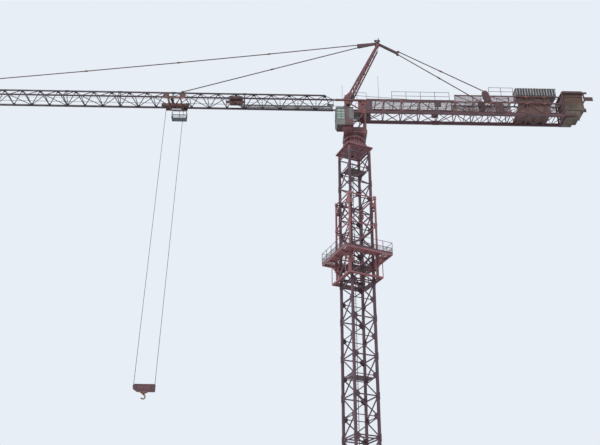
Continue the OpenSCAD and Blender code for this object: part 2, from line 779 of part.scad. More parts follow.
module jib_outer() {
  tip = bottom_joint(jib_bays);
  color(oxide) {
    jib_stretch(jib_bays_root + jib_bays_middle, jib_bays);
    tie_lug(outer_end);
    // End post with the tip sheave
    box([tip - 30, -8, jib_z - 5], [tip + 8, 8, jib_z + 5]);
    translate([tip - 26, 3, jib_z + 12]) rotate([90, 0, 0]) cylinder(r = 12, h = 6, $fn = 32);
    box([tip - 29, -5, jib_z], [tip - 23, 5, jib_z + 15]);
  }
}

module jib_walkway() {
  z = jib_z + jib_brace_t / 2;
  color(grating) open_deck(walkway_end, jib_root_x - 14, 28, jib_half - 12, z, 2);
}

// Winch that pulls the trolley, inside the jib
module trolley_winch() {
  x = bottom_joint(5) - 80;
  z = jib_z + jib_brace_t / 2;
  color(brown) {
    box([bottom_joint(6) - 3, -34, z], [bottom_joint(5) + 3, 6, z + 5]);
    for (y = [-31, -1]) box([x - 34, y - 2, z + 4], [x + 34, y + 2, z + 30]);
    translate([x, 0, z + 24]) rotate([90, 0, 0]) cylinder(r = 15, h = 30, $fn = 32);
    box([x + 36, -30, z + 4], [x + 58, 0, z + 38]);
    box([x - 68, -30, z + 4], [x - 50, -6, z + 56]);
  }
}

counter_bays = 11;
// The raised part of the counter-jib starts at this bay
counter_step = 5;
counter_top_w = 10;
counter_start = counter_x0 + seat;
counter_bay = (counter_frame_end - counter_start) / counter_bays;
function counter_joint(k) =
  min(max(counter_start + k * counter_bay, counter_start + 5), counter_frame_end - 5);

// One side truss of the counter-jib, with the fork for its tie
module counter_truss(s) {
  x0 = counter_start;
  x1 = counter_frame_end;
  y = s * counter_half;
  raised_z = counter_top_z + counter_raise;
  box([x0, y - counter_beam_w / 2, counter_z - counter_beam_h / 2],
    [x1, y + counter_beam_w / 2, counter_z + counter_beam_h / 2]);
  box([x0, y - counter_top_w / 2, counter_top_z - counter_top_w / 2],
    [x1, y + counter_top_w / 2, counter_top_z + counter_top_w / 2]);
  box([counter_joint(counter_step) - 4, y - counter_top_w / 2, raised_z - counter_top_w / 2],
    [x1, y + counter_top_w / 2, raised_z + counter_top_w / 2]);
  // Root plate next to the tower head
  box([x0, y - 3, counter_z], [x0 + 64, y + 3, counter_top_z]);
  for (k = [0:counter_bays]) {
    x = counter_joint(k);
    box([x - 4, y - 4, counter_z], [x + 4, y + 4, k >= counter_step ? raised_z : counter_top_z]);
  }
  for (k = [0:counter_bays - 1]) {
    a = x0 + k * counter_bay + 5;
    b = x0 + (k + 1) * counter_bay - 5;
    even = k % 2 == 0;
    bar([a, y, even ? counter_z : counter_top_z], [b, y, even ? counter_top_z : counter_z], 6, 6);
    if (k >= counter_step)
      bar([a, y, even ? counter_top_z : raised_z], [b, y, even ? raised_z : counter_top_z], 5, 5);
  }
  for (c = [-1, 1]) translate([counter_tie_x, y + c * counter_fork_y + link_t / 2, raised_z])
    rotate([90, 0, 0]) linear_extrude(link_t)
      polygon([[-36, 0], [36, 0], [30, 44], [12, counter_tie_z - raised_z + 10],
        [-12, counter_tie_z - raised_z + 10], [-30, 44]]);
  eye([counter_tie_x, y, counter_tie_z], pin_r, fork_pin_l + 2);
}

// Floor frame between the bottom beams: an edge rail on each side, struts and bracing
module counter_floor() {
  y = counter_half - counter_beam_w / 2 - seat;
  z = counter_z - 6;
  rail_t = 7;
  zigzag_from = 5;
  half_bay = counter_bay / 2;
  for (s = [-1, 1])
    box([counter_start, s * (y - rail_t / 2) - rail_t / 2, z - rail_t / 2],
      [counter_frame_end, s * (y - rail_t / 2) + rail_t / 2, z + rail_t / 2]);
  for (k = [0:counter_bays]) bar([counter_joint(k), -y, z], [counter_joint(k), y, z], 8, 8);
  for (k = [0:zigzag_from - 1], s = [-1, 1])
    bar([counter_start + k * counter_bay + 5, s * y, z],
      [counter_start + (k + 1) * counter_bay - 5, -s * y, z], 5 + s / 2, 5 + s / 2);
  for (k = [zigzag_from:counter_bays - 1]) {
    xm = counter_start + (k + 0.5) * counter_bay;
    bar([xm, -y, z], [xm, y, z], 6, 6);
    bar([xm - half_bay + 5, -y, z], [xm, y, z], 5, 5);
    bar([xm, y, z], [xm + half_bay - 5, -y, z], 5, 5);
  }
}

module counter_jib() {
  color(oxide) {
    for (s = [-1, 1]) counter_truss(s);
    intersection() {
      counter_floor();
      box([counter_start, -counter_half + counter_beam_w / 2 + seat, counter_z - 20],
        [counter_frame_end, counter_half - counter_beam_w / 2 - seat, counter_z + 20]);
    }
  }
}

// Two lengths of deck between the top rails, in front of the winch well and behind it
module counter_deck() {
  y = counter_half - counter_top_w / 2 - seat;
  z = counter_top_z + 2;
  color(brown) for (run = [[counter_x0 + 8, winch_x0 - 40], [winch_x1 + 24, counter_frame_end - 2]]) {
    open_deck(run[0], run[1], -y, y, z, 6);
    for (k = [0:counter_bays])
      if (counter_joint(k) - 3 > run[0] && counter_joint(k) + 3 < run[1])
        box([counter_joint(k) - 3, -y, z - 6], [counter_joint(k) + 3, y, z + eps]);
  }
}

// Open deck: flat edge bars, and between them so many bars along it over cross bars
module open_deck(x0, x1, y0, y1, z, n) {
  edge = 8;
  bar_w = 4;
  deck_h = 3;
  crosses = max(1, round((x1 - x0) / 90));
  for (y = [y0, y1 - edge]) box([x0, y, z], [x1, y + edge, z + deck_h]);
  for (k = [0:crosses]) {
    x = x0 + k * (x1 - x0 - edge) / crosses;
    box([x, y0 + 1, z], [x + edge, y1 - 1, z + deck_h - 1]);
  }
  for (i = [1:n]) {
    y = y0 + i * (y1 - y0) / (n + 1) - bar_w / 2;
    box([x0 + 1, y, z + 0.5], [x1 - 1, y + bar_w, z + deck_h - 0.5]);
  }
}

module rail_run(x0, x1, y, z, h) {
  n = round((x1 - x0) / 150);
  for (k = [0:n]) box([x0 + k * (x1 - x0) / n - 2, y - 2, z], [x0 + k * (x1 - x0) / n + 2, y + 2, z + h]);
  for (u = [h - 3, h / 2]) box([x0, y - 1.5, z + u], [x1, y + 1.5, z + u + 3]);
}

module counter_handrails() {
  color(oxide) for (s = [-1, 1]) {
    y = s * counter_half;
    rail_run(front_rail[0], front_rail[1], y, counter_top_z + 5, rail_h);
    rail_run(rear_rail[0], rear_rail[1], y, counter_top_z + counter_raise + 5, rail_h - 8);
  }
}

// Rope drum, gearbox and motor on a bed that lies on the counter-jib beams
module hoist_winch() {
  x0 = winch_x0;
  z = counter_z + counter_beam_h / 2;
  zc = z + 78;
  y = counter_half - 9;
  color(brown) {
    box([x0, -y, z], [winch_x1, y, z + 10]);
    for (x = [x0 + 2, x0 + 142]) box([x, -counter_half - 7, z], [x + 24, counter_half + 7, z + 8]);
    for (s = [-1, 1]) box([x0 + 20, s * 56 - 5, z + 9], [x0 + 160, s * 56 + 5, z + 96]);
    translate([x0 + 90, 62, zc]) rotate([90, 0, 0]) cylinder(r = 42, h = 124, $fn = 48);
    for (s = [-1, 1]) translate([x0 + 90, s * 48 + 2, zc]) rotate([90, 0, 0])
      cylinder(r = 62, h = 4, $fn = 48);
    box([x0 + 190, -60, z + 9], [x0 + 250, 20, z + 120]);
    translate([x0 + 248, -20, z + 70]) rotate([0, 90, 0]) cylinder(r = 34, h = 84, $fn = 32);
    box([x0 + 255, -44, z + 9], [x0 + 325, 4, z + 50]);
  }
}

// Ribbed housing above the winch, on two cross bearers
module resistor_bank() {
  x0 = winch_x0 + 22;
  x1 = counter_frame_end - 46;
  y = counter_half - 7;
  z0 = counter_top_z + counter_raise + 5;
  bearer_h = 6;
  color(grating) {
    box([x0, -y, z0 + bearer_h - eps], [x1, 20, z0 + 96]);
    for (x = [x0 + 14:18:x1 - 10]) box([x - 3, -y - 6, z0 + 14], [x + 3, -y + eps, z0 + 90]);
    for (x = [x0 + 20, x1 - 20])
      box([x - 6, -counter_half - 5, z0], [x + 6, counter_half + 5, z0 + bearer_h]);
  }
}

// Concrete slabs that hang side by side on two rails, each on the shoulders of its head
module counterweights() {
  y = 80;
  head_h = 10;
  z1 = slab_rail_z + slab_rail_h / 2 + seat;
  color(brown) for (k = [0:slab_n - 1]) translate([slab_x0 + k * (slab_t + slab_gap), 0, 0]) {
    box([0, -y, slab_rail_z - slab_h + slab_cut[k]], [slab_t, y, z1 + eps]);
    box([0, -slab_rail_y - 6, z1], [slab_t, slab_rail_y + 6, z1 + head_h]);
  }
}

// Frame that carries the slabs on its two top rails
module counterweight_frame() {
  z1 = slab_rail_z;
  z0 = counter_z - counter_beam_h / 2;
  x0 = counter_frame_end + seat;
  x1 = counter_frame_end + 11;
  xe = slab_x0 + slab_n * (slab_t + slab_gap) + 4;
  y = slab_rail_y;
  end_drop = 100;
  color(oxide) {
    for (s = [-1, 1]) {
      box([x0, s * y - 6, z0], [slab_x0 + 2 * (slab_t + slab_gap), s * y + 6, z0 + 24]);
      box([x0, s * y - 6, z1 - slab_rail_h / 2], [xe + 40, s * y + 6, z1 + slab_rail_h / 2]);
      box([x0, s * y - 6, z0], [x1, s * y + 6, z1]);
      box([xe, s * y - 5, z1 - end_drop], [xe + 10, s * y + 5, z1]);
      // Lug at the outer end
      box([xe + 10 - eps, s * y - 3, z1 - end_drop + 6], [counter_l, s * y + 3, z1 - end_drop + 50]);
    }
    for (z = [z0 + 3, z1 - 6]) box([x0, -y, z], [x1, y, z + 11]);
    for (z = [z1 - end_drop, z1 - 6]) box([xe, -y, z], [xe + 10, y, z + 11]);
  }
}

wheel_r = 10;
wheel_w = 5;
wheel_x = 80;
wheel_gap = 14;
axle_r = 2.5;
wheel_y = jib_half + chord_t / 2 + ledge_w - 1 - wheel_w / 2;
wheel_z = jib_z - chord_t / 2 + ledge_t + seat + wheel_r;
plate_y = jib_half + chord_t / 2 + ledge_w + 3;
frame_z = jib_z - chord_t / 2 - 8;
trolley_bar_t = 8;
// The rope sheaves of the trolley hang this far below its frame
sheave_drop = 22;

// Trolley: wheel plates outside the chords, joined by a frame that passes below them
module trolley_frame() {
  cross_x = 62;
  color(brown) translate([-trolley_x, 0, 0]) {
    for (s = [-1, 1]) {
      for (u = [-1, 1]) {
        box([u * wheel_x - 28, s * (plate_y + 2) - 2, frame_z - 12],
          [u * wheel_x + 28, s * (plate_y + 2) + 2, wheel_z + 20]);
        for (v = [-1, 1])
          eye([u * wheel_x + v * wheel_gap, s * (plate_y + wheel_y) / 2, wheel_z],
            axle_r, plate_y - wheel_y + wheel_w);
      }
      box([-wheel_x - 10, s * plate_y - trolley_bar_t / 2, frame_z - 12],
        [wheel_x + 10, s * plate_y + trolley_bar_t / 2, frame_z]);
    }
    for (u = [-1, 1])
      box([u * cross_x - 6, -plate_y, frame_z - 12], [u * cross_x + 6, plate_y, frame_z]);
    for (y = [-8, 8])
      box([-fall_gap / 2 - sheave_r - 12, y - 1.5, frame_z - 34],
        [fall_gap / 2 + sheave_r + 12, y + 1.5, frame_z - 4]);
    for (u = [-1, 1]) eye([u * (fall_gap / 2 + sheave_r), 0, frame_z - sheave_drop], 3, 18);
  }
}

// A grooved rope sheave on the Y axis, centred on the origin
module sheave(r, bore) {
  rotate([90, 0, 0]) rotate_extrude($fn = 48) difference() {
    translate([bore, -4]) square([r + 3 - bore, 8]);
    translate([r, 0]) circle(r = rope_d / 2 + 0.3, $fn = 24);
    translate([r, -rope_d / 2 - 0.3]) square([6, rope_d + 0.6]);
  }
}

module trolley_wheels() {
  color(steel) translate([-trolley_x, 0, 0]) {
    for (s = [-1, 1], u = [-1, 1], v = [-1, 1])
      difference() {
        eye([u * wheel_x + v * wheel_gap, s * wheel_y, wheel_z], wheel_r, wheel_w);
        eye_hole([u * wheel_x + v * wheel_gap, s * wheel_y, wheel_z], axle_r + 0.1);
      }
    for (u = [-1, 1])
      translate([u * (fall_gap / 2 + sheave_r), 0, frame_z - sheave_drop]) sheave(sheave_r, 3.1);
  }
}

// Basket for fitters at the far side of the trolley
module service_basket() {
  x0 = -48;
  x1 = 100;
  y0 = plate_y + 6;
  y1 = y0 + 60;
  z1 = frame_z - 12;
  z0 = z1 - 86;
  color(grating) translate([-trolley_x, 0, 0]) {
    box([x0, y0, z0], [x1, y1, z0 + 3]);
    for (x = [x0, (x0 + x1) / 2 - 2, x1 - 4], y = [y0, y1 - 4]) box([x, y, z0], [x + 4, y + 4, z1]);
    for (z = [z0 + 42, z1 - 4], y = [y0, y1 - 3]) box([x0, y, z], [x1, y + 3, z + 3]);
    for (z = [z0 + 42, z1 - 4], x = [x0, x1 - 3]) box([x, y0, z], [x + 3, y1, z + 3]);
    // Hangers beside the bar of the trolley frame
    for (x = [-17, 63])
      box([x, plate_y + trolley_bar_t / 2 + seat, z1 - 4], [x + 6, y0 + 3, z1 + 10]);
  }
}

// The two falls, from the trolley sheaves to the sheaves of the hook block
module hoist_ropes() {
  color(steel) for (s = [-1, 1])
    translate([-trolley_x + s * fall_gap / 2, 0, hook_z])
      cylinder(d = rope_d, h = frame_z - sheave_drop - hook_z, $fn = 16);
}

hook_sheave_x = fall_gap / 2 - sheave_r;

// Foot of the hook block below its sheaves, and the space between its plates
block_foot = 37;
block_in = 7;

// Two long side plates with the sheaves between them
module hook_block() {
  color(block_red) translate([-trolley_x, 0, hook_z]) {
    for (s = [-1, 1]) translate([0, s * (block_in + 1) + 1.5, 0]) rotate([90, 0, 0]) linear_extrude(3)
      polygon([[-92, 12], [-84, 26], [88, 26], [92, 21], [92, -block_foot], [-56, -block_foot], [-88, -16]]);
    for (u = [-1, 1]) translate([u * hook_sheave_x, 9, 0]) rotate([90, 0, 0])
      cylinder(r = 4, h = 18, $fn = 24);
    box([-22, -block_in, -block_foot], [22, block_in, -block_foot + 16]);
    for (u = [-1, 1]) box([u * 24 - 5, -block_in, 4], [u * 24 + 5, block_in, 22]);
  }
}

module hook_sheaves() {
  color(steel) translate([-trolley_x, 0, hook_z]) for (u = [-1, 1])
    translate([u * hook_sheave_x, 0, 0]) sheave(sheave_r, 4.1);
}

// Hook below the block
module hook() {
  r = 17;
  t = 5.5;
  shank = 24;
  top = hook_z - block_foot;
  color(oxide_dark) translate([-trolley_x, 0, 0]) {
    translate([0, 0, top - shank]) cylinder(r = 4, h = shank - seat, $fn = 24);
    translate([0, 0, top - shank - r]) rotate([90, 0, 0])
      rotate([0, 0, -150]) rotate_extrude(angle = 240, $fn = 48) translate([r, 0]) circle(r = t, $fn = 16);
  }
}

base_frame();
mast_lower();
mast_middle();
mast_upper();
ladder();
cage_frame();
cage_platform();
cage_guardrail();
lower_platform();
climbing_jack();
top_platform();
slewing_seat();
slewing_ring_lower();
slewing_ring_upper();
turntable();
slewing_drives();
tower_head();
cab_shell();
cab_glazing();
a_frame();
apex_head();
tie_links();
outer_tie();
inner_tie();
counter_tie_near();
counter_tie_far();
jib_root();
jib_middle();
jib_outer();
jib_walkway();
trolley_winch();
counter_jib();
counter_deck();
counter_handrails();
hoist_winch();
resistor_bank();
counterweights();
counterweight_frame();
trolley_frame();
trolley_wheels();
service_basket();
hoist_ropes();
hook_block();
hook_sheaves();
hook();
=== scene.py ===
import bpy
import json
import math
import numpy as np
from mathutils import Matrix, Vector


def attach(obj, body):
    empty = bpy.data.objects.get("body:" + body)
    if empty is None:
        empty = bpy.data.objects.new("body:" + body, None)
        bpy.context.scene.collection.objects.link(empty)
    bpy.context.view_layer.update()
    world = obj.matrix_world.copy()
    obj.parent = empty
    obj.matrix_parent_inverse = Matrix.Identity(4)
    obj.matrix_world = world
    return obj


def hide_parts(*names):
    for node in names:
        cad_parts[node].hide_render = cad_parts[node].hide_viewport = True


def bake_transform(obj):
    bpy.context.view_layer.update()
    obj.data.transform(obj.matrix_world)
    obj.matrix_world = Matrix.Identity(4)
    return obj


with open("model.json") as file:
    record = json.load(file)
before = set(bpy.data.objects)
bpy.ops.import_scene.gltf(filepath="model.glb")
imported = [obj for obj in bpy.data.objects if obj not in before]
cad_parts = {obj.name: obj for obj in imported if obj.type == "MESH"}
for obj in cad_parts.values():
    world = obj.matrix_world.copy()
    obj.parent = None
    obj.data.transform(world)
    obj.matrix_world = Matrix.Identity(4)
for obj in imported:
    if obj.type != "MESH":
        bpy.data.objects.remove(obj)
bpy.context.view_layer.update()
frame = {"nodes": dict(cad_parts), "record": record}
nodes = frame["nodes"]
random = np.random.default_rng(41)

# All shapes below are worked out in millimetres of the model and written in metres.
metre = 0.001


# Shader nodes

def feed(tree, socket, value):
    # a link where the value is another node's socket, or else a fixed value
    if isinstance(value, bpy.types.NodeSocket):
        tree.links.new(value, socket)
    else:
        socket.default_value = value


# Each of the next five adds one node and gives back its output

def mathNode(tree, operation, a, b, clamp=False):
    node = tree.nodes.new("ShaderNodeMath")
    node.operation = operation
    node.use_clamp = clamp
    feed(tree, node.inputs[0], a)
    feed(tree, node.inputs[1], b)
    return node.outputs[0]


def rangeNode(tree, value, lo, hi, outLo=0.0, outHi=1.0):
    node = tree.nodes.new("ShaderNodeMapRange")
    node.interpolation_type = "SMOOTHSTEP"
    given = {"Value": value, "From Min": lo, "From Max": hi, "To Min": outLo, "To Max": outHi}
    for label, v in given.items():
        feed(tree, node.inputs[label], v)
    return node.outputs["Result"]


def noiseNode(tree, vector, scale, detail=3.0, rough=0.55):
    node = tree.nodes.new("ShaderNodeTexNoise")
    for label, v in {"Vector": vector, "Scale": scale, "Detail": detail, "Roughness": rough}.items():
        feed(tree, node.inputs[label], v)
    return node.outputs["Fac"]


def mixColour(tree, amount, a, b):
    node = tree.nodes.new("ShaderNodeMix")
    node.data_type = "RGBA"
    for place, value in ((0, amount), (6, a), (7, b)):
        feed(tree, node.inputs[place], value)
    return node.outputs[2]


def objectPlace(tree):
    return tree.nodes.new("ShaderNodeTexCoord").outputs["Object"]


def parted(tree, vector):
    # the three parts of a vector
    node = tree.nodes.new("ShaderNodeSeparateXYZ")
    tree.links.new(vector, node.inputs[0])
    return node.outputs


# Camera and stage

cameraSetup = {
    "place": (-0.54756, -6.08796, 0.16),  # metres
    "heading": 0.3546,  # degrees, as are the next two
    "pitch": 28.314,
    "roll": 0.778,
    "lens": 45.505,
}


def addCamera(setup):
    data = bpy.data.cameras.new("photoCamera")
    data.lens = setup["lens"]
    data.sensor_fit = "HORIZONTAL"
    data.sensor_width = 36
    data.clip_end = 200
    camera = bpy.data.objects.new("photoCamera", data)
    bpy.context.scene.collection.objects.link(camera)
    turn = (Matrix.Rotation(-math.radians(setup["heading"]), 4, "Z")
            @ Matrix.Rotation(math.radians(90 + setup["pitch"]), 4, "X")
            @ Matrix.Rotation(math.radians(setup["roll"]), 4, "Z"))
    camera.matrix_world = Matrix.Translation(setup["place"]) @ turn
    bpy.context.scene.camera = camera


addCamera(cameraSetup)


def tone(red, green, blue, alpha=1.0):
    # a screen colour from 0 to 255, turned into the light values that shaders use
    c = np.array([red, green, blue]) / 255
    c = np.where(c <= 0.04045, c / 12.92, ((c + 0.055) / 1.055) ** 2.4)
    return (float(c[0]), float(c[1]), float(c[2]), alpha)


lightSetup = {
    "ambient": 0.8,
    "sky": tone(232, 238, 246),
    "sun": 1.5,
    "sunSize": 14,
    "sunFrom": (-0.55, -0.62, 0.62),
    "floor": tone(222, 223, 224),
}


def addStage(setup):
    world = bpy.data.worlds.new("paleSky")
    bpy.context.scene.world = world
    world.use_nodes = True
    tree = world.node_tree
    tree.nodes.clear()
    light = tree.nodes.new("ShaderNodeBackground")
    light.inputs["Color"].default_value = (1, 1, 1, 1)
    light.inputs["Strength"].default_value = setup["ambient"]
    seen = tree.nodes.new("ShaderNodeBackground")
    seen.inputs["Color"].default_value = setup["sky"]
    path = tree.nodes.new("ShaderNodeLightPath")
    direct = mathNode(tree, "MAXIMUM", path.outputs["Is Camera Ray"], path.outputs["Is Glossy Ray"])
    direct = mathNode(tree, "MAXIMUM", direct, path.outputs["Is Transmission Ray"])
    mix = tree.nodes.new("ShaderNodeMixShader")
    out = tree.nodes.new("ShaderNodeOutputWorld")
    for source, target in ((direct, mix.inputs["Fac"]), (light.outputs[0], mix.inputs[1]),
                           (seen.outputs[0], mix.inputs[2]), (mix.outputs[0], out.inputs["Surface"])):
        tree.links.new(source, target)

    sun = bpy.data.objects.new("softSun", bpy.data.lights.new("softSun", "SUN"))
    sun.data.energy = setup["sun"]
    sun.data.angle = math.radians(setup["sunSize"])
    sun.matrix_world = Vector(setup["sunFrom"]).to_track_quat("Z", "Y").to_matrix().to_4x4()
    bpy.context.scene.collection.objects.link(sun)

    floorMesh = bpy.data.meshes.new("studioFloor")
    w = 60.0
    floorMesh.from_pydata([(-w, -w, 0), (w, -w, 0), (w, w, 0), (-w, w, 0)], [], [(0, 1, 2, 3)])
    floor = bpy.data.objects.new("studioFloor", floorMesh)
    bpy.context.scene.collection.objects.link(floor)
    paint = bpy.data.materials.new("studioFloor")
    paint.use_nodes = True
    shader = paint.node_tree.nodes["Principled BSDF"]
    shader.inputs["Base Color"].default_value = setup["floor"]
    shader.inputs["Roughness"].default_value = 0.9
    floorMesh.materials.append(paint)


addStage(lightSetup)
bpy.context.scene.view_settings.view_transform = "Standard"
print("camera, light and floor")


# Finishes

def newGroup(name, numbers, outputs):
    # a node group with named number inputs and their first values, and named number outputs
    group = bpy.data.node_groups.new(name, "ShaderNodeTree")
    for label, value in numbers.items():
        socket = group.interface.new_socket(name=label, in_out="INPUT", socket_type="NodeSocketFloat")
        socket.default_value = value
    for label in outputs:
        group.interface.new_socket(name=label, in_out="OUTPUT", socket_type="NodeSocketFloat")
    return group, group.nodes.new("NodeGroupInput"), group.nodes.new("NodeGroupOutput")


def makeWeatherGroup():
    # Patches: two sizes of noise. Streaks: noise drawn out downwards. Dust: faces that look up.
    # Edges: where the rounded normal leaves the true one. Grain: very fine noise.
    group, given, put = newGroup("paintWeather", {"Patch Size": 18.0, "Edge Width": 0.0012},
                                 ("Patches", "Streaks", "Dust", "Edges", "Grain"))
    link = group.links.new
    place = objectPlace(group)
    broad = noiseNode(group, place, given.outputs["Patch Size"], 4.0, 0.6)
    finer = noiseNode(group, place, 120.0, 3.0, 0.6)
    patches = mathNode(group, "ADD", mathNode(group, "MULTIPLY", broad, 0.68),
                       mathNode(group, "MULTIPLY", finer, 0.32))
    link(rangeNode(group, patches, 0.36, 0.64), put.inputs["Patches"])

    stretch = group.nodes.new("ShaderNodeMapping")
    stretch.inputs["Scale"].default_value = (150, 150, 9)
    link(place, stretch.inputs["Vector"])
    runs = noiseNode(group, stretch.outputs["Vector"], 1.0, 2.0, 0.5)
    link(rangeNode(group, runs, 0.52, 0.74), put.inputs["Streaks"])

    shape = group.nodes.new("ShaderNodeNewGeometry")
    up = rangeNode(group, parted(group, shape.outputs["Normal"])["Z"], 0.55, 0.95)
    link(mathNode(group, "MULTIPLY", up, rangeNode(group, finer, 0.3, 0.7)), put.inputs["Dust"])

    bevel = group.nodes.new("ShaderNodeBevel")
    bevel.samples = 4
    link(given.outputs["Edge Width"], bevel.inputs["Radius"])
    dot = group.nodes.new("ShaderNodeVectorMath")
    dot.operation = "DOT_PRODUCT"
    link(bevel.outputs["Normal"], dot.inputs[0])
    link(shape.outputs["Normal"], dot.inputs[1])
    bend = mathNode(group, "SUBTRACT", 1.0, dot.outputs["Value"])
    chips = rangeNode(group, noiseNode(group, place, 260.0, 2.0), 0.42, 0.6)
    worn = mathNode(group, "MULTIPLY", rangeNode(group, bend, 0.02, 0.2), chips, True)
    link(worn, put.inputs["Edges"])
    link(noiseNode(group, place, 900.0, 2.0), put.inputs["Grain"])
    return group


weatherGroup = makeWeatherGroup()


def startMaterial(name):
    # a new material, its node tree and its shader
    material = bpy.data.materials.new(name)
    material.use_nodes = True
    tree = material.node_tree
    return material, tree, tree.nodes["Principled BSDF"]


dustTone = tone(150, 140, 132)


# A paint: the base colour fades in patches, then streaks, dust and rusty edges are laid over it
def weatheredPaint(name, base, faded, rust, dirt, rough=0.5, metal=0.0, patch=18.0, edge=0.0012,
                   streak=0.5, dusty=0.35, chipped=0.8, bump=0.25):
    material, tree, shader = startMaterial(name)
    link = tree.links.new
    weather = tree.nodes.new("ShaderNodeGroup")
    weather.node_tree = weatherGroup
    weather.inputs["Patch Size"].default_value = patch
    weather.inputs["Edge Width"].default_value = edge
    colour = mixColour(tree, weather.outputs["Patches"], base, faded)
    layers = (("Streaks", streak, dirt), ("Dust", dusty, dustTone), ("Edges", chipped, rust))
    for label, share, over in layers:
        colour = mixColour(tree, mathNode(tree, "MULTIPLY", weather.outputs[label], share), colour, over)
    link(colour, shader.inputs["Base Color"])
    link(rangeNode(tree, weather.outputs["Patches"], 0.0, 1.0, rough - 0.08, rough + 0.14),
         shader.inputs["Roughness"])
    shader.inputs["Metallic"].default_value = metal
    lift = tree.nodes.new("ShaderNodeBump")
    lift.inputs["Strength"].default_value = bump
    lift.inputs["Distance"].default_value = 0.0004
    link(weather.outputs["Grain"], lift.inputs["Height"])
    link(lift.outputs["Normal"], shader.inputs["Normal"])
    return material


# Each paint: its colour, where it has faded, the rust at its edges and the dirt in its streaks
paintTones = {
    "redOxidePaint": ((88, 62, 72), (73, 57, 70), (118, 74, 62), (52, 44, 50)),
    "darkRedPaint": ((82, 56, 60), (68, 52, 58), (108, 72, 60), (46, 40, 44)),
    "brownPaint": ((104, 78, 72), (86, 66, 62), (122, 78, 58), (56, 46, 46)),
    "oiledSteel": ((84, 82, 84), (62, 60, 62), (104, 80, 66), (36, 34, 36)),
    "greenGreyPaint": ((106, 106, 104), (88, 88, 88), (100, 80, 66), (60, 58, 58)),
    "maroonPaint": ((98, 58, 66), (78, 52, 60), (134, 84, 62), (52, 42, 46)),
    "greasedRope": ((58, 58, 64), (46, 46, 52), (80, 72, 68), (32, 32, 36)),
    "rustedPlatePaint": ((126, 74, 62), (106, 64, 60), (128, 84, 60), (64, 46, 46)),
    # the jib's paint: the same red oxide darkened and cast blue-purple, painted shade with a painted cast
    # of sky light
    "shadedJibPaint": ((62, 45, 54), (52, 43, 58), (94, 63, 60), (40, 35, 46)),
    "platePaint": ((128, 84, 90), (110, 75, 84), (138, 88, 68), (70, 52, 56)),
    "headPaint": ((112, 70, 72), (96, 65, 71), (134, 84, 64), (60, 46, 50)),
    "cagePaint": ((146, 94, 97), (126, 85, 92), (142, 92, 72), (76, 56, 60)),
    "ringPaint": ((104, 72, 74), (88, 64, 68), (116, 78, 62), (52, 44, 46)),
    "counterJibPaint": ((94, 61, 67), (78, 56, 67), (124, 76, 60), (52, 43, 50)),
    "mauveMeshPaint": ((122, 98, 106), (102, 84, 94), (120, 84, 70), (66, 54, 60)),
    "winchPaint": ((108, 68, 64), (90, 62, 60), (128, 80, 60), (56, 46, 46)),
    "basketPaint": ((72, 80, 88), (60, 68, 76), (96, 78, 66), (46, 48, 54)),
    "aFramePaint": ((118, 70, 74), (100, 66, 74), (140, 82, 64), (64, 48, 54)),
    "hookPaint": ((132, 86, 60), (110, 74, 60), (96, 74, 62), (60, 48, 44)),
    "paleMetal": ((152, 152, 158), (122, 122, 128), (96, 76, 64), (60, 56, 58)),
    "windowRubber": ((44, 42, 44), (36, 36, 38), (60, 56, 54), (28, 28, 30)),
    "seatFabric": ((54, 56, 66), (44, 46, 54), (70, 68, 70), (34, 34, 38)),
}
paintHabits = {
    "oiledSteel": {"rough": 0.42, "metal": 0.75, "dusty": 0.15},
    "greasedRope": {"rough": 0.55, "metal": 0.5, "dusty": 0.0, "chipped": 0.2},
    "hookPaint": {"metal": 0.2},
    "paleMetal": {"rough": 0.4},
    "windowRubber": {"rough": 0.7, "bump": 0.5},
    "seatFabric": {"rough": 0.9, "bump": 1.0},
}
paints = {name: weatheredPaint(name, *[tone(*c) for c in tones], **paintHabits.get(name, {}))
          for name, tones in paintTones.items()}
# CAD pieces that have a paint of their own in place of their slot's
nodePaint = {
    "jib_root": "shadedJibPaint", "jib_middle": "shadedJibPaint", "jib_outer": "shadedJibPaint", "a_frame": "aFramePaint",
    "slewing_seat": "platePaint", "top_platform": "platePaint", "turntable": "platePaint",
    "tower_head": "headPaint", "cage_platform": "cagePaint", "lower_platform": "cagePaint",
    "cage_frame": "cagePaint", "slewing_ring_lower": "ringPaint", "slewing_ring_upper": "ringPaint",
    "counter_jib": "counterJibPaint", "trolley_frame": "winchPaint", "trolley_winch": "winchPaint",
    "service_basket": "basketPaint", "hook": "hookPaint", "counterweight_frame": "darkRedPaint",
}


def cabPaint():
    # Grey front panels; behind them a mauve-brown band for a pillar, its dark tone painted shade, then grey
    # again; brown towards the floor; faces that look down are darkened as painted shade
    material = weatheredPaint("cabPaint", tone(122, 124, 124), tone(108, 110, 112), tone(96, 76, 66),
                              tone(74, 68, 70), rough=0.38, streak=0.35, chipped=0.5)
    tree = material.node_tree
    shader = tree.nodes["Principled BSDF"]
    painted = shader.inputs["Base Color"].links[0].from_socket
    place = parted(tree, objectPlace(tree))
    rear = rangeNode(tree, place["X"], -0.0972, -0.0966)
    # painted shade: the pillar band gets the dark mauve-brown of a pillar in shade
    shadedPillar = mathNode(tree, "MULTIPLY", rear, rangeNode(tree, place["X"], -0.0585, -0.059))
    foot = mathNode(tree, "MULTIPLY", rear, rangeNode(tree, place["Z"], 4.485, 4.445))
    face = parted(tree, tree.nodes.new("ShaderNodeNewGeometry").outputs["Normal"])
    # painted shade: faces that look down are darkened towards a dark brown
    under = rangeNode(tree, face["Z"], -0.3, -0.6)
    zones = ((rear, 0.4, tone(112, 104, 106)), (shadedPillar, 0.95, tone(104, 76, 82)),
             (foot, 0.92, tone(98, 70, 72)), (under, 0.9, tone(54, 42, 42)))
    for zone, share, over in zones:
        painted = mixColour(tree, mathNode(tree, "MULTIPLY", zone, share), painted, over)
    tree.links.new(painted, shader.inputs["Base Color"])
    return material


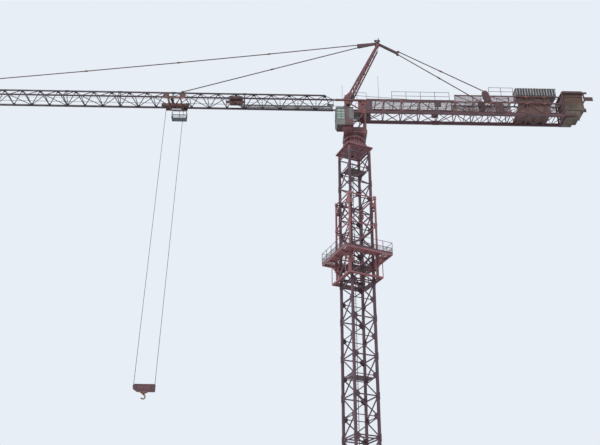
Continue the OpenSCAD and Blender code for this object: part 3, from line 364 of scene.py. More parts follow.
def slabPaint():
    # Cast concrete that turns red-brown from mid height to its top, under the rusty frame
    material = weatheredPaint("castConcrete", tone(104, 94, 85), tone(74, 66, 60), tone(118, 106, 96),
                              tone(54, 46, 44), rough=0.85, patch=9.0, streak=0.75, bump=0.9, edge=0.002)
    tree = material.node_tree
    shader = tree.nodes["Principled BSDF"]
    cast = shader.inputs["Base Color"].links[0].from_socket
    place = parted(tree, objectPlace(tree))
    high = rangeNode(tree, place["Z"], 4.74, 4.84, 0.0, 0.7)
    tree.links.new(mixColour(tree, high, cast, tone(92, 64, 58)), shader.inputs["Base Color"])
    return material


def glassMaterial():
    material, tree, shader = startMaterial("paleGreenGlass")
    film = rangeNode(tree, noiseNode(tree, objectPlace(tree), 22.0), 0.35, 0.8)
    colour = mixColour(tree, film, tone(176, 200, 192), tone(156, 178, 172))
    tree.links.new(colour, shader.inputs["Base Color"])
    tree.links.new(rangeNode(tree, film, 0.0, 1.0, 0.05, 0.16), shader.inputs["Roughness"])
    shader.inputs["Transmission Weight"].default_value = 0.35
    shader.inputs["IOR"].default_value = 1.45
    return material


finishes = {
    "oxide_paint": paints["redOxidePaint"], "dark_paint": paints["darkRedPaint"],
    "brown_paint": paints["brownPaint"], "bare_steel": paints["oiledSteel"],
    "grating": paints["greenGreyPaint"], "block_red": paints["maroonPaint"],
    "rope": paints["greasedRope"], "cab_paint": cabPaint(), "cab_glass": glassMaterial(),
    "concrete": slabPaint(),
}
nodeFinish = {row["node"]: row["material_slot"] for row in frame["record"]["subparts"]}
for name, obj in nodes.items():
    finish = paints[nodePaint[name]] if name in nodePaint else finishes[nodeFinish[name]]
    if not obj.material_slots:
        obj.data.materials.append(finish)
    for materialSlot in obj.material_slots:
        materialSlot.material = finish
print("finishes on", len(nodes), "CAD pieces")


# Shapes as whole arrays

towardsJib, towardsCab = (-1, 0, 0), (0, -1, 0)
alongX, alongY, alongZ = (1, 0, 0), (0, 1, 0), (0, 0, 1)

boxPick = np.array([[0, 0, 0], [1, 0, 0], [1, 1, 0], [0, 1, 0], [0, 0, 1], [1, 0, 1], [1, 1, 1], [0, 1, 1]])
boxFaces = np.array([[0, 3, 2, 1], [4, 5, 6, 7], [0, 1, 5, 4], [1, 2, 6, 5], [2, 3, 7, 6], [3, 0, 4, 7]])


def points(x, y, z):
    # one point a row, as many rows as the longest of the three coordinates
    return np.stack(np.broadcast_arrays(*[np.atleast_1d(np.asarray(v, float)) for v in (x, y, z)]), 1)


def boxes(lo, hi):
    # eight corners between each low and high corner
    lo, hi = np.atleast_2d(np.asarray(lo, float)), np.atleast_2d(np.asarray(hi, float))
    low, high = np.minimum(lo, hi), np.maximum(lo, hi)
    verts = low[:, None] + (high - low)[:, None] * boxPick
    faces = boxFaces + 8 * np.arange(len(lo))[:, None, None]
    return verts.reshape(-1, 3), [faces.reshape(-1, 4)]


def unit(v):
    # each row divided by its own length
    return v / np.maximum(np.linalg.norm(v, axis=-1, keepdims=True), 1e-9)


def bars(a, b, wide, high):
    # a rectangle carried straight from each a to each b, its wide side level
    a, b = np.atleast_2d(np.asarray(a, float)), np.atleast_2d(np.asarray(b, float))
    along = unit(b - a)
    upright = np.abs(along[:, 2:3]) > 0.99
    side = unit(np.cross(along, np.where(upright, [1.0, 0, 0], [0, 0, 1.0])))
    lift = np.cross(side, along)
    pick = boxPick - [0.5, 0.5, 0]
    length = np.linalg.norm(b - a, axis=1)[:, None, None]
    verts = (a[:, None] + pick[None, :, 0:1] * high * lift[:, None]
             + pick[None, :, 1:2] * wide * side[:, None] + pick[None, :, 2:3] * length * along[:, None])
    faces = boxFaces + 8 * np.arange(len(a))[:, None, None]
    return verts.reshape(-1, 3), [faces.reshape(-1, 4)]


def plates(outline, origins, xAxis, yAxis, thick):
    # a flat outline set at each origin on its own two axes, half its thickness to each side
    outline = np.asarray(outline, float)
    origins = np.atleast_2d(np.asarray(origins, float))
    n, k = len(origins), len(outline)
    xAxis = np.broadcast_to(np.asarray(xAxis, float), (n, 3))
    yAxis = np.broadcast_to(np.asarray(yAxis, float), (n, 3))
    normal = np.cross(xAxis, yAxis)
    flat = (origins[:, None] + outline[None, :, 0:1] * xAxis[:, None]
            + outline[None, :, 1:2] * yAxis[:, None])
    verts = np.concatenate([flat - normal[:, None] * thick / 2, flat + normal[:, None] * thick / 2], 1)
    i = np.arange(k)
    j = (i + 1) % k
    base = (2 * k * np.arange(n))[:, None, None]
    sides = np.stack([i, j, j + k, i + k], 1)
    return verts.reshape(-1, 3), [(base + i[::-1]).reshape(-1, k), (base + k + i).reshape(-1, k),
                                  (base + sides).reshape(-1, 4)]


def turnedShapes(profile, centres, axes, sides):
    # a profile of (radius, height) turned round each axis, closed by a flat face at both ends
    profile = np.asarray(profile, float)
    centres = np.atleast_2d(np.asarray(centres, float))
    n, m = len(centres), len(profile)
    axes = unit(np.broadcast_to(np.asarray(axes, float), (n, 3)).astype(float))
    ref = np.where(np.abs(axes[:, 2:3]) > 0.9, [1.0, 0, 0], [0, 0, 1.0])
    u = unit(np.cross(ref, axes))
    v = np.cross(axes, u)
    angle = 2 * np.pi * np.arange(sides) / sides
    ring = np.cos(angle)[:, None] * u[:, None] + np.sin(angle)[:, None] * v[:, None]
    verts = (centres[:, None, None] + profile[None, :, None, 0:1] * ring[:, None]
             + profile[None, :, None, 1:2] * axes[:, None, None])
    i = np.arange(m - 1)[:, None] * sides
    j = np.arange(sides)[None]
    k = (j + 1) % sides
    wall = np.stack([i + j, i + k, i + sides + k, i + sides + j], -1).reshape(-1, 4)
    base = (m * sides * np.arange(n))[:, None, None]
    loop = np.arange(sides)
    return verts.reshape(-1, 3), [(base + wall).reshape(-1, 4), (base + loop[::-1]).reshape(-1, sides),
                                  (base + (m - 1) * sides + loop).reshape(-1, sides)]


def pipe(path, radius, sides=8, closed=False):
    # a circle carried along a path, square to it at each point
    path = np.asarray(path, float)
    if closed:
        along = np.roll(path, -1, 0) - np.roll(path, 1, 0)
    else:
        along = np.gradient(path, axis=0)
    along = unit(along)
    flat = np.ptp(path, axis=0)
    ref = np.eye(3)[int(np.argmin(flat))]
    u = unit(np.cross(along, ref))
    v = np.cross(along, u)
    angle = 2 * np.pi * np.arange(sides) / sides
    verts = path[:, None] + radius * (np.cos(angle)[None, :, None] * u[:, None]
                                      + np.sin(angle)[None, :, None] * v[:, None])
    m = len(path)
    rows = np.arange(m if closed else m - 1)[:, None]
    j = np.arange(sides)[None]
    k = (j + 1) % sides
    nxt = (rows + 1) % m
    wall = np.stack([rows * sides + j, rows * sides + k, nxt * sides + k, nxt * sides + j], -1)
    faces = [wall.reshape(-1, 4)]
    if not closed:
        loop = np.arange(sides)
        faces += [loop[::-1][None], ((m - 1) * sides + loop)[None]]
    return verts.reshape(-1, 3), faces


def arc(centre, radius, fromDeg, toDeg, steps):
    # points of a circle's arc in the XZ plane
    t = np.radians(np.linspace(fromDeg, toDeg, steps))
    return np.asarray(centre, float) + radius * points(np.cos(t), 0, np.sin(t))


def turned(shape, degrees):
    # the same shape turned round the mast's axis
    verts, faces = shape
    c, s = math.cos(math.radians(degrees)), math.sin(math.radians(degrees))
    x, y, z = verts.T
    return np.stack([x * c - y * s, x * s + y * c, z], 1), faces


def fourTurns(start, *shapes):
    # each shape on the four sides of the mast
    return [turned(shape, start + 90 * q) for shape in shapes for q in range(4)]


def bothSides(*shapes):
    # each shape and its mirror image in the plane y = 0
    return [s for verts, faces in shapes
            for s in ((verts, faces), (verts * [1, -1, 1], [f[:, ::-1] for f in faces]))]


def flipped(outline):
    # an outline turned over about its level axis
    return [(x, -y) for x, y in outline][::-1]


def facePlates(outline, origins, thick):
    # plates that stand upright and face the cab's side
    return plates(outline, origins, alongX, alongZ, thick)


hexHead = [(1.0, 0.0), (1.0, 0.7), (0.86, 0.9)]


def bolts(spots, axis=towardsCab, radius=2.0, high=1.6):
    # hexagon heads: six sides and a small chamfer
    return turnedShapes([(r * radius, h * high) for r, h in hexHead], spots, axis, 6)


def grid(*ranges):
    # every combination of the given values, one point a row
    spread = np.meshgrid(*[np.atleast_1d(r) for r in ranges], indexing="ij")
    return np.stack(spread, -1).reshape(-1, len(ranges))


def netting(across, levels, span, rise, depth, step, wire, order=(0, 1, 2)):
    # upright wires at each place across, and level wires at each height, one step behind them;
    # the order (1, 0, 2) lays the level wires along Y
    a, b, c, d = [p[:, list(order)] for p in (
        points(across, depth, rise[0]), points(across, depth, rise[1]),
        points(span[0], depth + step, levels), points(span[1], depth + step, levels))]
    return [bars(a, b, wire, wire), bars(c, d, wire, wire)]


def cornerLeaves(edge, seam, end, z, half):
    # two leaves round a corner at each height, the second set against the first
    return (boxes(points(edge, edge, z - half), points(end, seam, z + half)),
            boxes(points(edge, seam, z - half), points(seam, end, z + half)))


def wireMesh(origin, length, width, pitch, wire=0.8):
    # wires across and along a level rectangle, the second set lying on the first
    x0, y0, z = origin
    x = x0 + np.arange(pitch / 2, length, pitch)
    y = y0 + np.arange(pitch / 2, width, pitch)
    return [bars(points(x, y0, z), points(x, y0 + width, z), wire, wire),
            bars(points(x0, y, z + wire), points(x0 + length, y, z + wire), wire, wire)]


def makePiece(name, shapes, body, slotName, paint=None, smooth=False):
    # one object from a list of shapes, in its slot's finish or in a paint of its own
    verts, faces, base = [], [], 0
    for v, fs in shapes:
        verts.append(v)
        for f in fs:
            faces += (f + base).tolist()
        base += len(v)
    mesh = bpy.data.meshes.new(name)
    mesh.from_pydata((np.concatenate(verts) * metre).tolist(), [], faces)
    if smooth:
        mesh.polygons.foreach_set("use_smooth", np.ones(len(mesh.polygons), bool))
        mesh.set_sharp_from_angle(angle=math.radians(38))
    mesh.validate()
    mesh.materials.append(paints[paint] if paint else finishes[slotName])
    obj = bpy.data.objects.new(name, mesh)
    bpy.context.scene.collection.objects.link(obj)
    if body:
        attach(obj, body)
    return obj


# Mast

# half: from the middle to a leg's axis; webOut: from there to the outer face of the zigzag
mast = {"half": 105, "leg": 20, "turn": 23, "foot": 176, "section": 332, "sections": 12,
        "webOut": 4.5, "gussetT": 1.8, "jointIn": 0.4, "gussetBolts": (9, 22),
        "plate": {"out": 2.2, "lap": 0.2, "wide": 17, "half": 30},
        "boltRows": (-22, -8, 8, 22), "boltColumns": (3.5, 12)}


def mastDetails(m):
    half = m["half"]
    out = half + m["leg"] / 2
    inner = half - m["leg"] / 2
    joints = m["foot"] + m["section"] * np.arange(m["sections"] + 1)
    middles = joints[:-1] + m["section"] / 2
    z = joints[1:-1]
    face = -half - m["webOut"] - m["gussetT"] / 2
    # Gussets where the zigzag meets a leg: at mid height on one leg, at the joints on the other,
    # where they lie a little further in
    outline = [(0, -32), (15, -25), (34, -10), (34, 10), (15, 25), (0, 32)]
    atJoints = facePlates(outline, points(-inner, face + m["jointIn"], z), m["gussetT"])
    outline = [(-x, y) for x, y in outline][::-1]
    atMiddles = facePlates(outline, points(inner, face, middles), m["gussetT"])
    makePiece("mastGussets", fourTurns(m["turn"], atJoints, atMiddles), "mast", "oxide_paint")

    # Fishplates over the leg splices: one leaf on each outer face, with eight bolts each
    p = m["plate"]
    edge, seam, end = -out - p["out"], -out + p["lap"], -out + p["wide"]
    leaves = cornerLeaves(edge, seam, end, z, p["half"])
    makePiece("mastFishplates", fourTurns(m["turn"], *leaves), "mast", "oxide_paint")
    rows = z[:, None] + np.array(m["boltRows"])
    columns = np.array(m["boltColumns"]) - out
    heads = bolts(grid(columns, edge, rows))
    others = bolts(grid(edge, columns, rows), towardsJib)
    makePiece("mastSpliceBolts", fourTurns(m["turn"], heads, others), "mast", "bare_steel")
    # Two bolts through each gusset
    reach = inner - np.array(m["gussetBolts"])
    spots = np.concatenate([grid(-reach, face - m["gussetT"] / 2, z),
                            grid(reach, face - m["gussetT"] / 2, middles)])
    makePiece("mastGussetBolts", fourTurns(m["turn"], bolts(spots, towardsCab, 1.6, 1.2)),
              "mast", "bare_steel")


mastDetails(mast)

footSetup = {"half": 105, "turn": 23, "plateT": 8, "stub": 11}


def footDetails(f):
    # Weld seams round each stub and stiffeners across each foot plate
    near, far, z = -f["half"] - f["stub"], -f["half"] + f["stub"], f["plateT"] + 0.6
    seam = pipe([[near, near, z], [far, near, z], [far, far, z], [near, far, z]], 1.2, 6, True)
    stiff = plates([(-38, 0), (38, 0), (10.5, 46), (-10.5, 46)], [[-f["half"], -f["half"], f["plateT"]]],
                   unit(np.array([1.0, -1.0, 0])), alongZ, 5)
    makePiece("footStiffeners", fourTurns(f["turn"], seam, stiff), "mast", "dark_paint")


footDetails(footSetup)

# upper and lower: width of the opening, width of the deck, where its boards start, and their height
deck = {"turn": 23, "plank": 17.5, "gap": 1.6, "thick": 1.6, "cornerMesh": (-232, 92, 6),
        "upper": (281, 466, -140, 3077), "lower": (281, 336, -163, 2871),
        "rail": 233, "foot": 3092, "head": 3132, "wire": 7.0}
# levels: the heights of the corner plates; rollers: those of the rollers
cage = {"post": 142, "plate": 2.2, "lap": 30, "half": 15, "levels": (2872, 3112, 3390, 3668),
        "rollers": (2950, 2994, 3546, 3590), "rollerX": -104, "rollerY": -126.5}


def planks(inner, outer, start, z, d):
    # boards laid along one side of a square deck, from its opening to its edge
    y = np.arange(-outer / 2 + 5, -inner / 2 - d["plank"] + 4, d["plank"] + d["gap"])
    ends = random.uniform(0, 2.0, len(y))
    return boxes(points(start + ends, y, z), points(inner / 2 - 2 - ends, y + d["plank"], z + d["thick"]))


def deckDetails(d):
    shapes = fourTurns(d["turn"], planks(*d["upper"], d))
    shapes += fourTurns(d["turn"], planks(*d["lower"], d))
    makePiece("platformBoards", shapes, "mast", "brown_paint")
    start, wide, pitch = d["cornerMesh"]
    corner = wireMesh([start, start, d["upper"][3] - 0.6], wide, wide, pitch)
    makePiece("platformMesh", fourTurns(d["turn"], *corner), "mast", "grating")


def guardrailDetails(d):
    # Wire mesh behind the guardrail
    w, wire = d["rail"], d["wire"]
    net = netting(np.arange(-w + 6, w - 6, wire), np.arange(d["foot"] + 4, d["head"], wire),
                  (-w + 5, w - 5), (d["foot"], d["head"]), -w + 4.4, 0.7, 0.8)
    makePiece("guardrailMesh", fourTurns(d["turn"], *net), "mast", "dark_paint")


def cageDetails(c, turn):
    # Corner plates and bolts on the cage's posts, and rollers on the guide shoes
    z = np.array(c["levels"])
    edge, seam, end = -c["post"], -c["post"] + c["plate"], -c["post"] + c["lap"]
    leaves = cornerLeaves(edge, seam, end, z, c["half"])
    makePiece("cageCornerPlates", fourTurns(turn, *leaves), "mast", "oxide_paint", "cagePaint")
    spots = grid([edge + 8, edge + 23], edge, z[:, None] + np.array([-9, 9]))
    makePiece("cageBolts", fourTurns(turn, bolts(spots)), "mast", "bare_steel")
    rollers = turnedShapes([(2.5, -7), (9, -6), (10, -5), (10, 5), (9, 6), (2.5, 7)],
                           points(c["rollerX"], c["rollerY"], c["rollers"]), alongX, 20)
    makePiece("cageRollers", fourTurns(turn, rollers), "mast", "bare_steel", smooth=True)


deckDetails(deck)
cageDetails(cage, deck["turn"])
guardrailDetails(deck)

# low and high: the skin's half width at the square collar and its radius at the round one
seat = {"turn": 23, "top": 4350, "foot": 4214, "ringR": 98, "studs": 36, "teeth": 84,
        "low": 104.0, "high": 84, "floor": 94.5, "board": 17.6, "joists": (-62, -4, 54)}


def around(count):
    # unit vectors out from the middle and along the rim, at equal steps of a full turn
    angle = 2 * np.pi * np.arange(count) / count
    return points(np.cos(angle), np.sin(angle), 0), points(-np.sin(angle), np.cos(angle), 0)


def seatDetails(s):
    # Bolts on the upper flange, and teeth round the lower ring
    studs = around(s["studs"])[0] * (s["ringR"] - 6) + [0, 0, s["top"] - 26]
    makePiece("ringBolts", [bolts(studs, (0, 0, -1), 2.6, 3.0)], "mast", "bare_steel")
    radial, across = around(s["teeth"])
    teeth = plates([(0, -2.4), (4.2, -1.2), (4.2, 1.2), (0, 2.4)],
                   radial * (s["ringR"] - 1.0) + [0, 0, s["top"] + 6.5], radial, across, 9)
    makePiece("ringTeeth", [teeth], "mast", "bare_steel")

    # Skin between the ribs: each point lies a share t of the way from a straight edge on the square
    # collar up to an arc on the round one, and the back is the same sheet drawn in by two hundredths
    rows, cols = 9, 13
    t = np.linspace(0, 1, rows)[:, None, None]
    u = np.linspace(-1, 1, cols)
    bend = np.radians(45) * u
    low = points(s["low"] * u, -s["low"], s["foot"] + 24)
    high = points(s["high"] * np.sin(bend), -s["high"] * np.cos(bend), s["top"] - 24)
    skin = low * (1 - t) + high * t
    verts = np.concatenate([skin.reshape(-1, 3), (skin * [0.98, 0.98, 1]).reshape(-1, 3)])
    i = (np.arange(rows - 1)[:, None] * cols + np.arange(cols - 1)).ravel()
    n = rows * cols
    front = np.stack([i, i + 1, i + cols + 1, i + cols], 1)
    rim = np.concatenate([np.arange(cols), np.arange(2 * cols - 1, n, cols),
                          np.arange(n - 2, n - cols - 1, -1), np.arange(n - 2 * cols, 0, -cols)])
    nxt = np.roll(rim, -1)
    sheet = (verts, [front, front[:, ::-1] + n, np.stack([nxt, rim, rim + n, nxt + n], 1)])
    makePiece("seatSkin", fourTurns(s["turn"], sheet), "mast", "oxide_paint", "platePaint")

    # Floor inside the square collar, with a hole over the ladder
    w, z = s["floor"], s["foot"] + 3
    y = np.arange(-w, 42, 19.0)
    floor = boxes(points(-w, y, z), points(w, y + s["board"], z + 2))
    beside = boxes([[-w, 57.5, z], [34, 57.5, z]], [[-34, w, z + 2], [w, w, z + 2]])
    x = np.array(s["joists"])
    joists = boxes(points(x, -w, z - 6), points(x + 8, 56, z))
    makePiece("seatFloor", [turned(part, s["turn"]) for part in (floor, beside, joists)], "mast",
              "oxide_paint", "platePaint")


seatDetails(seat)
print("mast, cage and seat dressed")


# Upper works

# table, counter and jib: heights of the turntable and of the two jibs' beams; motors: the drives' axes
# cabinet and cabinetDoors: low and high corners, their heights from the counter-jib's beams
head = {"table": 4390.6, "jib": 4773.6, "y": 76, "x0": -78, "x1": 112, "counter": 4637.6,
        "ringR": 84, "ladder": 60, "motors": ((-36, 50), (64, -50)), "cabinet": ((10, 20, 6), (58, 62, 92)),
        "cabinetDoors": (((12, 18, 12), (36, 18, 12)), ((33, 20.5, 86), (56, 20.5, 86)))}


def headDetails(h):
    # Gussets and bolts at the corners of the head's side frames
    outline = [(-24, -20), (24, -20), (24, 6), (10, 20), (-10, 20), (-24, 6)]
    spots = grid([h["x0"] + 10, h["x1"] - 10], -h["y"] - 9.2,
                 [h["table"] + 20, h["counter"], h["jib"] - 24])
    gussets = facePlates(outline, spots, 2.4)
    makePiece("headGussets", bothSides(gussets), "upperworks", "oxide_paint", "rustedPlatePaint")
    at = grid([-16, -5, 5, 16], -1.2, [-13, 0])
    heads = bolts((spots[:, None] + at[None]).reshape(-1, 3), towardsCab, 1.9, 1.6)
    makePiece("headBolts", bothSides(heads), "upperworks", "bare_steel")

    # Turntable: bolt ring, and stiffeners along its edges
    ring = around(32)[0] * h["ringR"] + [0, 0, h["table"] - 0.2]
    ring = ring[(ring[:, 0] > -70) | (np.abs(ring[:, 1]) > 20)]
    makePiece("turntableBolts", [bolts(ring, alongZ, 2.6, 3.0)], "upperworks", "bare_steel")
    x = np.arange(-92, 120, 21.0)
    ribs = boxes(points(x, -102, h["table"] - 0.3), points(x + 3, -88, h["table"] + 12))
    makePiece("turntableRibs", bothSides(ribs), "upperworks", "oxide_paint", "platePaint")

    # Ladder and electrical cabinet inside the head
    x = h["ladder"]
    rails = bars(points(x, [-18, 18], h["table"]), points(x, [-18, 18], h["jib"] - 16), 4, 4)
    z = np.arange(h["table"] + 20, h["jib"] - 20, 30.0)
    rungs = bars(points(x, -18, z), points(x, 18, z), 2, 2)
    makePiece("headLadder", [rails, rungs], "upperworks", "dark_paint")
    cabinet = [boxes(*(np.array(corners) + [0, 0, h["counter"]] for corners in h[part]))
               for part in ("cabinet", "cabinetDoors")]
    makePiece("headCabinet", cabinet, "upperworks", "grating")

    # Drive motors: fins, bolt flanges and terminal boxes
    shapes = []
    radial, side = around(18)
    for cx, cy in h["motors"]:
        centre = np.array([cx, cy, h["table"]])
        shapes.append(plates([(0, -0.5), (3, -0.4), (3, 0.4), (0, 0.5)],
                             radial * 9 + centre + [0, 0, 46], radial, side, 34))
        shapes.append(turnedShapes([(15.5, 0), (15.5, 3.5), (14.6, 4.2)], centre + [0, 0, 21], alongZ, 32))
        shapes.append(bolts(radial[::2] * 13.4 + centre + [0, 0, 25], alongZ, 1.2, 1.4))
        shapes.append(boxes(centre + [8, -5, 40], centre + [15, 5, 56]))
    makePiece("driveMotorFins", shapes, "upperworks", "bare_steel")


headDetails(head)

# the middles of the two guide sheaves
ropeGuides = {"upper": (-10, 0, 4876), "lower": (-58, 0, 4785.6), "radius": 24}


def sheaveShape(centre, radius):
    # a grooved rim, a thin web with a hub, turned round the level axis
    half = [(4, -6), (7, -6), (7, -2.5), (radius - 6, -1.6), (radius - 5, -4), (radius + 3, -4),
            (radius + 3, -3), (radius - 2, -0.8)]
    return turnedShapes(half + [(r, -y) for r, y in half[::-1]], [centre], alongY, 40)


def ropeGuideDetails(g):
    makePiece("guideSheaves", [sheaveShape(g["upper"], g["radius"]), sheaveShape(g["lower"], g["radius"])],
              "upperworks", "bare_steel", smooth=True)
    ux, _, uz = g["upper"]
    lx, _, lz = g["lower"]
    cheek = facePlates([(-14, -26), (10, -26), (12, 10), (-8, 12)], points(ux, [-9, 9], uz), 2.4)
    hang = facePlates([(-9, -10), (9, -10), (9, 28), (-9, 28)], points(lx, [-9, 9], lz), 2.4)
    cross = [bars([[ux - 2, -66, uz - 24]], [[ux - 2, 66, uz - 24]], 8, 8),
             bars([[lx, -75, lz + 26]], [[lx, 75, lz + 26]], 8, 8),
             turnedShapes([(3.6, -13), (3.6, 13)], [g["upper"], g["lower"]], alongY, 20)]
    makePiece("guideBrackets", [cheek, hang] + cross, "upperworks", "oxide_paint")


ropeGuideDetails(ropeGuides)

# plates: the shares of a leg's length at which its fishplates sit
aFrame = {"foot": (-65, 82, 4795.6), "top": (270, 14, 5549.6), "plates": (0.34, 0.67), "plateL": 44,
          "ladder": 27, "ladderHalf": 17}


def aFrameDetails(a):
    # Fishplates at a third and two thirds of each leg, with their bolts, and pins at the feet
    foot, top = np.array(a["foot"], float), np.array(a["top"], float)
    shapes, pins = [], []
    for s in (-1, 1):
        f, t = foot * [1, s, 1], top * [1, s, 1]
        along = unit(t - f)
        side = unit(np.cross(along, alongZ))
        for u in a["plates"]:
            p = f + (t - f) * u
            shapes.append(bars(p - along * a["plateL"] / 2, p + along * a["plateL"] / 2, 23, 21))
            spots = p + along * np.array([[-16], [-8], [8], [16]]) - side * 11.5
            pins.append(bolts(spots, -side))
            pins.append(bolts(spots + side * 23, side))
        pins.append(turnedShapes([(4.5, 0), (4.5, 4), (3.8, 5)], grid([-84, -46], 95 * s, [4800, 4820]),
                                 (0, s, 0), 16))
    makePiece("aFramePlates", shapes, "upperworks", "oxide_paint", "aFramePaint")
    makePiece("aFramePins", pins, "upperworks", "bare_steel")
    # Access ladder behind the far leg, on a stand-off every 120 mm
    along = unit(top - foot)
    back = unit(np.array([along[2], 0, -along[0]])) * a["ladder"]
    length = float(np.linalg.norm(top - foot))
    wide = np.array([0, a["ladderHalf"], 0])
    start, end = foot + along * 74 + back, foot + along * (length - 48) + back
    rails = bars([start - wide, start + wide], [end - wide, end + wide], 6, 7)
    steps = start + along * np.arange(14, length - 122, 28.0)[:, None]
    rungs = bars(steps - wide, steps + wide, 3, 3)
    steps = start + along * np.arange(20, length - 140, 120.0)[:, None]
    offs = bars(steps - wide, steps + wide, 5, 5)
    stubs = bars(steps - back * 0.75, steps, 7, 7)
    makePiece("aFrameLadder", [rails, rungs, offs, stubs], "upperworks", "oxide_paint", "aFramePaint")


aFrameDetails(aFrame)

# Where the ties start and end, in the middle plane or on the near side
ties = {"apex": (270, 0, 5579.6), "outer": ((70, 0, 5555.6), (-4551, 0, 4904.6)), "sag": 72,
        "inner": ((72, 0, 5521.6), (-1703, 0, 4904.6)), "counter": ((488, 22, 5453.6), (1310, 83, 4906.6))}


def tieDetails(t):
    # Nuts on the apex pin, the post's top with its arms, and two small pulleys
    apex = np.array(t["apex"])
    nut = turnedShapes([(8, 0), (8, 5), (7, 6)], apex + [0, 17, 0], alongY, 6)
    makePiece("apexNuts", bothSides(nut), "upperworks", "bare_steel")
    cap = turnedShapes([(2.2, 0), (3.4, 2), (3.4, 6), (1.2, 9)], apex + [16, 0, 71], alongZ, 16)
    arms = [bars(apex + [-26, 0, 44], apex + [30, 0, 44], 7, 8),
            bars(apex + [14, -22, 58], apex + [14, 22, 58], 6, 6)]
    makePiece("postTop", [cap] + arms, "upperworks", "dark_paint", smooth=True)
    pulleys = turnedShapes([(3, -4), (11, -4), (12, -3), (9, -1), (9, 1), (12, 3), (11, 4), (3, 4)],
                           [apex + [-18, 0, 34], apex + [22, 0, 34]], alongY, 24)
    makePiece("apexPulleys", [pulleys], "upperworks", "bare_steel", smooth=True)
    # Bolted couplings between the lengths of each tie; the outer tie sags by a parabola
    lines = []
    for name, count in (("outer", 6), ("inner", 3), ("counter", 3)):
        start, end = np.array(t[name], float)
        share = np.linspace(0, 1, count)[:, None]
        sag = t["sag"] if name == "outer" else 0.0
        lines.append(start + (end - start) * share - np.array([0, 0, sag]) * share * (1 - share))
    lines.append(lines[-1] * [1, -1, 1])
    spots, sleeves = [], []
    for line in lines:
        for i in range(1, len(line) - 1):
            along = unit(line[i + 1] - line[i - 1])
            sleeves.append(bars(line[i] - along * 17, line[i] + along * 17, 12.4, 9.4))
            spots += [line[i] - along * 8, line[i] + along * 8]
    bolt = [bolts(np.array(spots) + [0, s * 6.2, 0], (0, s, 0), 2.4, 1.8) for s in (1, -1)]
    makePiece("tieCouplings", sleeves, "upperworks", "dark_paint", "rustedPlatePaint")
    makePiece("tieBolts", bolt, "upperworks", "bare_steel")


tieDetails(ties)

# splices: the joints with a splice, counted from the root; walk: a corner of the walkway's mesh
jib = {"root": -190, "bay": 178, "bays": 29, "half": 84, "z": 4773.6, "top": 4889.6, "chord": 12,
       "splices": (5, 9, 12, 15, 19, 22, 25), "sleeve": 20, "plate": 1.6, "walk": (-1116, 29, 4779.3),
       "pole": (-110, -84, 4781)}


def jibDetails(j):
    bottom = j["root"] - j["bay"] * np.arange(j["bays"] + 1.0)
    top = bottom[:-1] - j["bay"] / 2
    slope = unit(np.array([0, j["half"], j["top"] - j["z"]], float))
    # Gussets at the bottom joints in the plane of each side, and on both sides of the top joints
    outline = [(-15, 0), (15, 0), (12, 8), (4, 15), (-4, 15), (-12, 8)]
    at = points(bottom[1:-1], -j["half"], j["z"]) + slope * 5 + [0, -3.4, 2.2]
    lower = plates(outline, at, alongX, slope, j["plate"])
    at = points(top, -1.0, j["top"]) - slope * 5 + [0, -2.6, 0]
    upper = plates(flipped(outline), at, alongX, slope, j["plate"])
    makePiece("jibGussets", bothSides(lower, upper), "upperworks", "oxide_paint", "shadedJibPaint")

    # Splices of the chords: sleeves, cross pins and a closed frame of plates round the section
    x = bottom[list(j["splices"])]
    c, s, y, z = j["chord"] / 2, j["sleeve"], -j["half"], j["z"]
    r = c + j["plate"]
    shapes = bothSides(boxes(points(x - s, y - r, z - c + 3), points(x + s, y + r, z + r)))
    shapes.append(boxes(points(x - s, -r, j["top"] - r), points(x + s, r, j["top"] + r)))
    shapes += bothSides(bars(points(x, y, z), points(x, 0, j["top"]), 6, 6))
    shapes.append(bars(points(x, y, z + 1), points(x, -y, z + 1), 8, 6))
    makePiece("jibSplices", shapes, "upperworks", "oxide_paint", "shadedJibPaint")
    spots = points((x[:, None] + [-13.0, 13.0]).ravel(), y - r, z + 2)
    pins = turnedShapes([(2.6, 0), (2.6, 1.8), (2.2, 2.2)], spots, towardsCab, 12)
    makePiece("jibSplicePins", bothSides(pins), "upperworks", "bare_steel")

    # Mesh of the walkway beside the winch, and a thin pole at the root
    makePiece("walkwayMesh", wireMesh(j["walk"], 910, 42, 5), "upperworks", "grating")
    pole = turnedShapes([(1.7, 0), (1.5, 168), (0.8, 172)], j["pole"], alongZ, 12)
    makePiece("rootPole", [pole], "upperworks", "dark_paint", smooth=True)


jibDetails(jib)

# fall and hook: the heights of the upper and lower sheaves; gap: from the middle to each fall;
# winch: where the two pulling ropes leave its drum
ropes = {"radius": 2.0, "z": 4761.6, "trolley": -1762, "sheave": 24, "gap": 86.5, "hook": 1892,
         "fall": 4737.6, "drum": (1690, -4, 4774.6), "tipEnd": -5322, "root": (-246, 0, 4775.6),
         "tip": (-5378, 0, 4785.6), "winch": ((-1160, -3, 4785.6), (-1160, -3, 4815.6))}


def straight(name, a, b, radius):
    # a taut rope with a ring of points at each end only, so that it stays straight when it stretches
    obj = makePiece(name, [pipe([a, b], radius, 10)], None, "rope", smooth=True)
    a, b = np.array(a) * metre, np.array(b) * metre
    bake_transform(obj)
    return obj


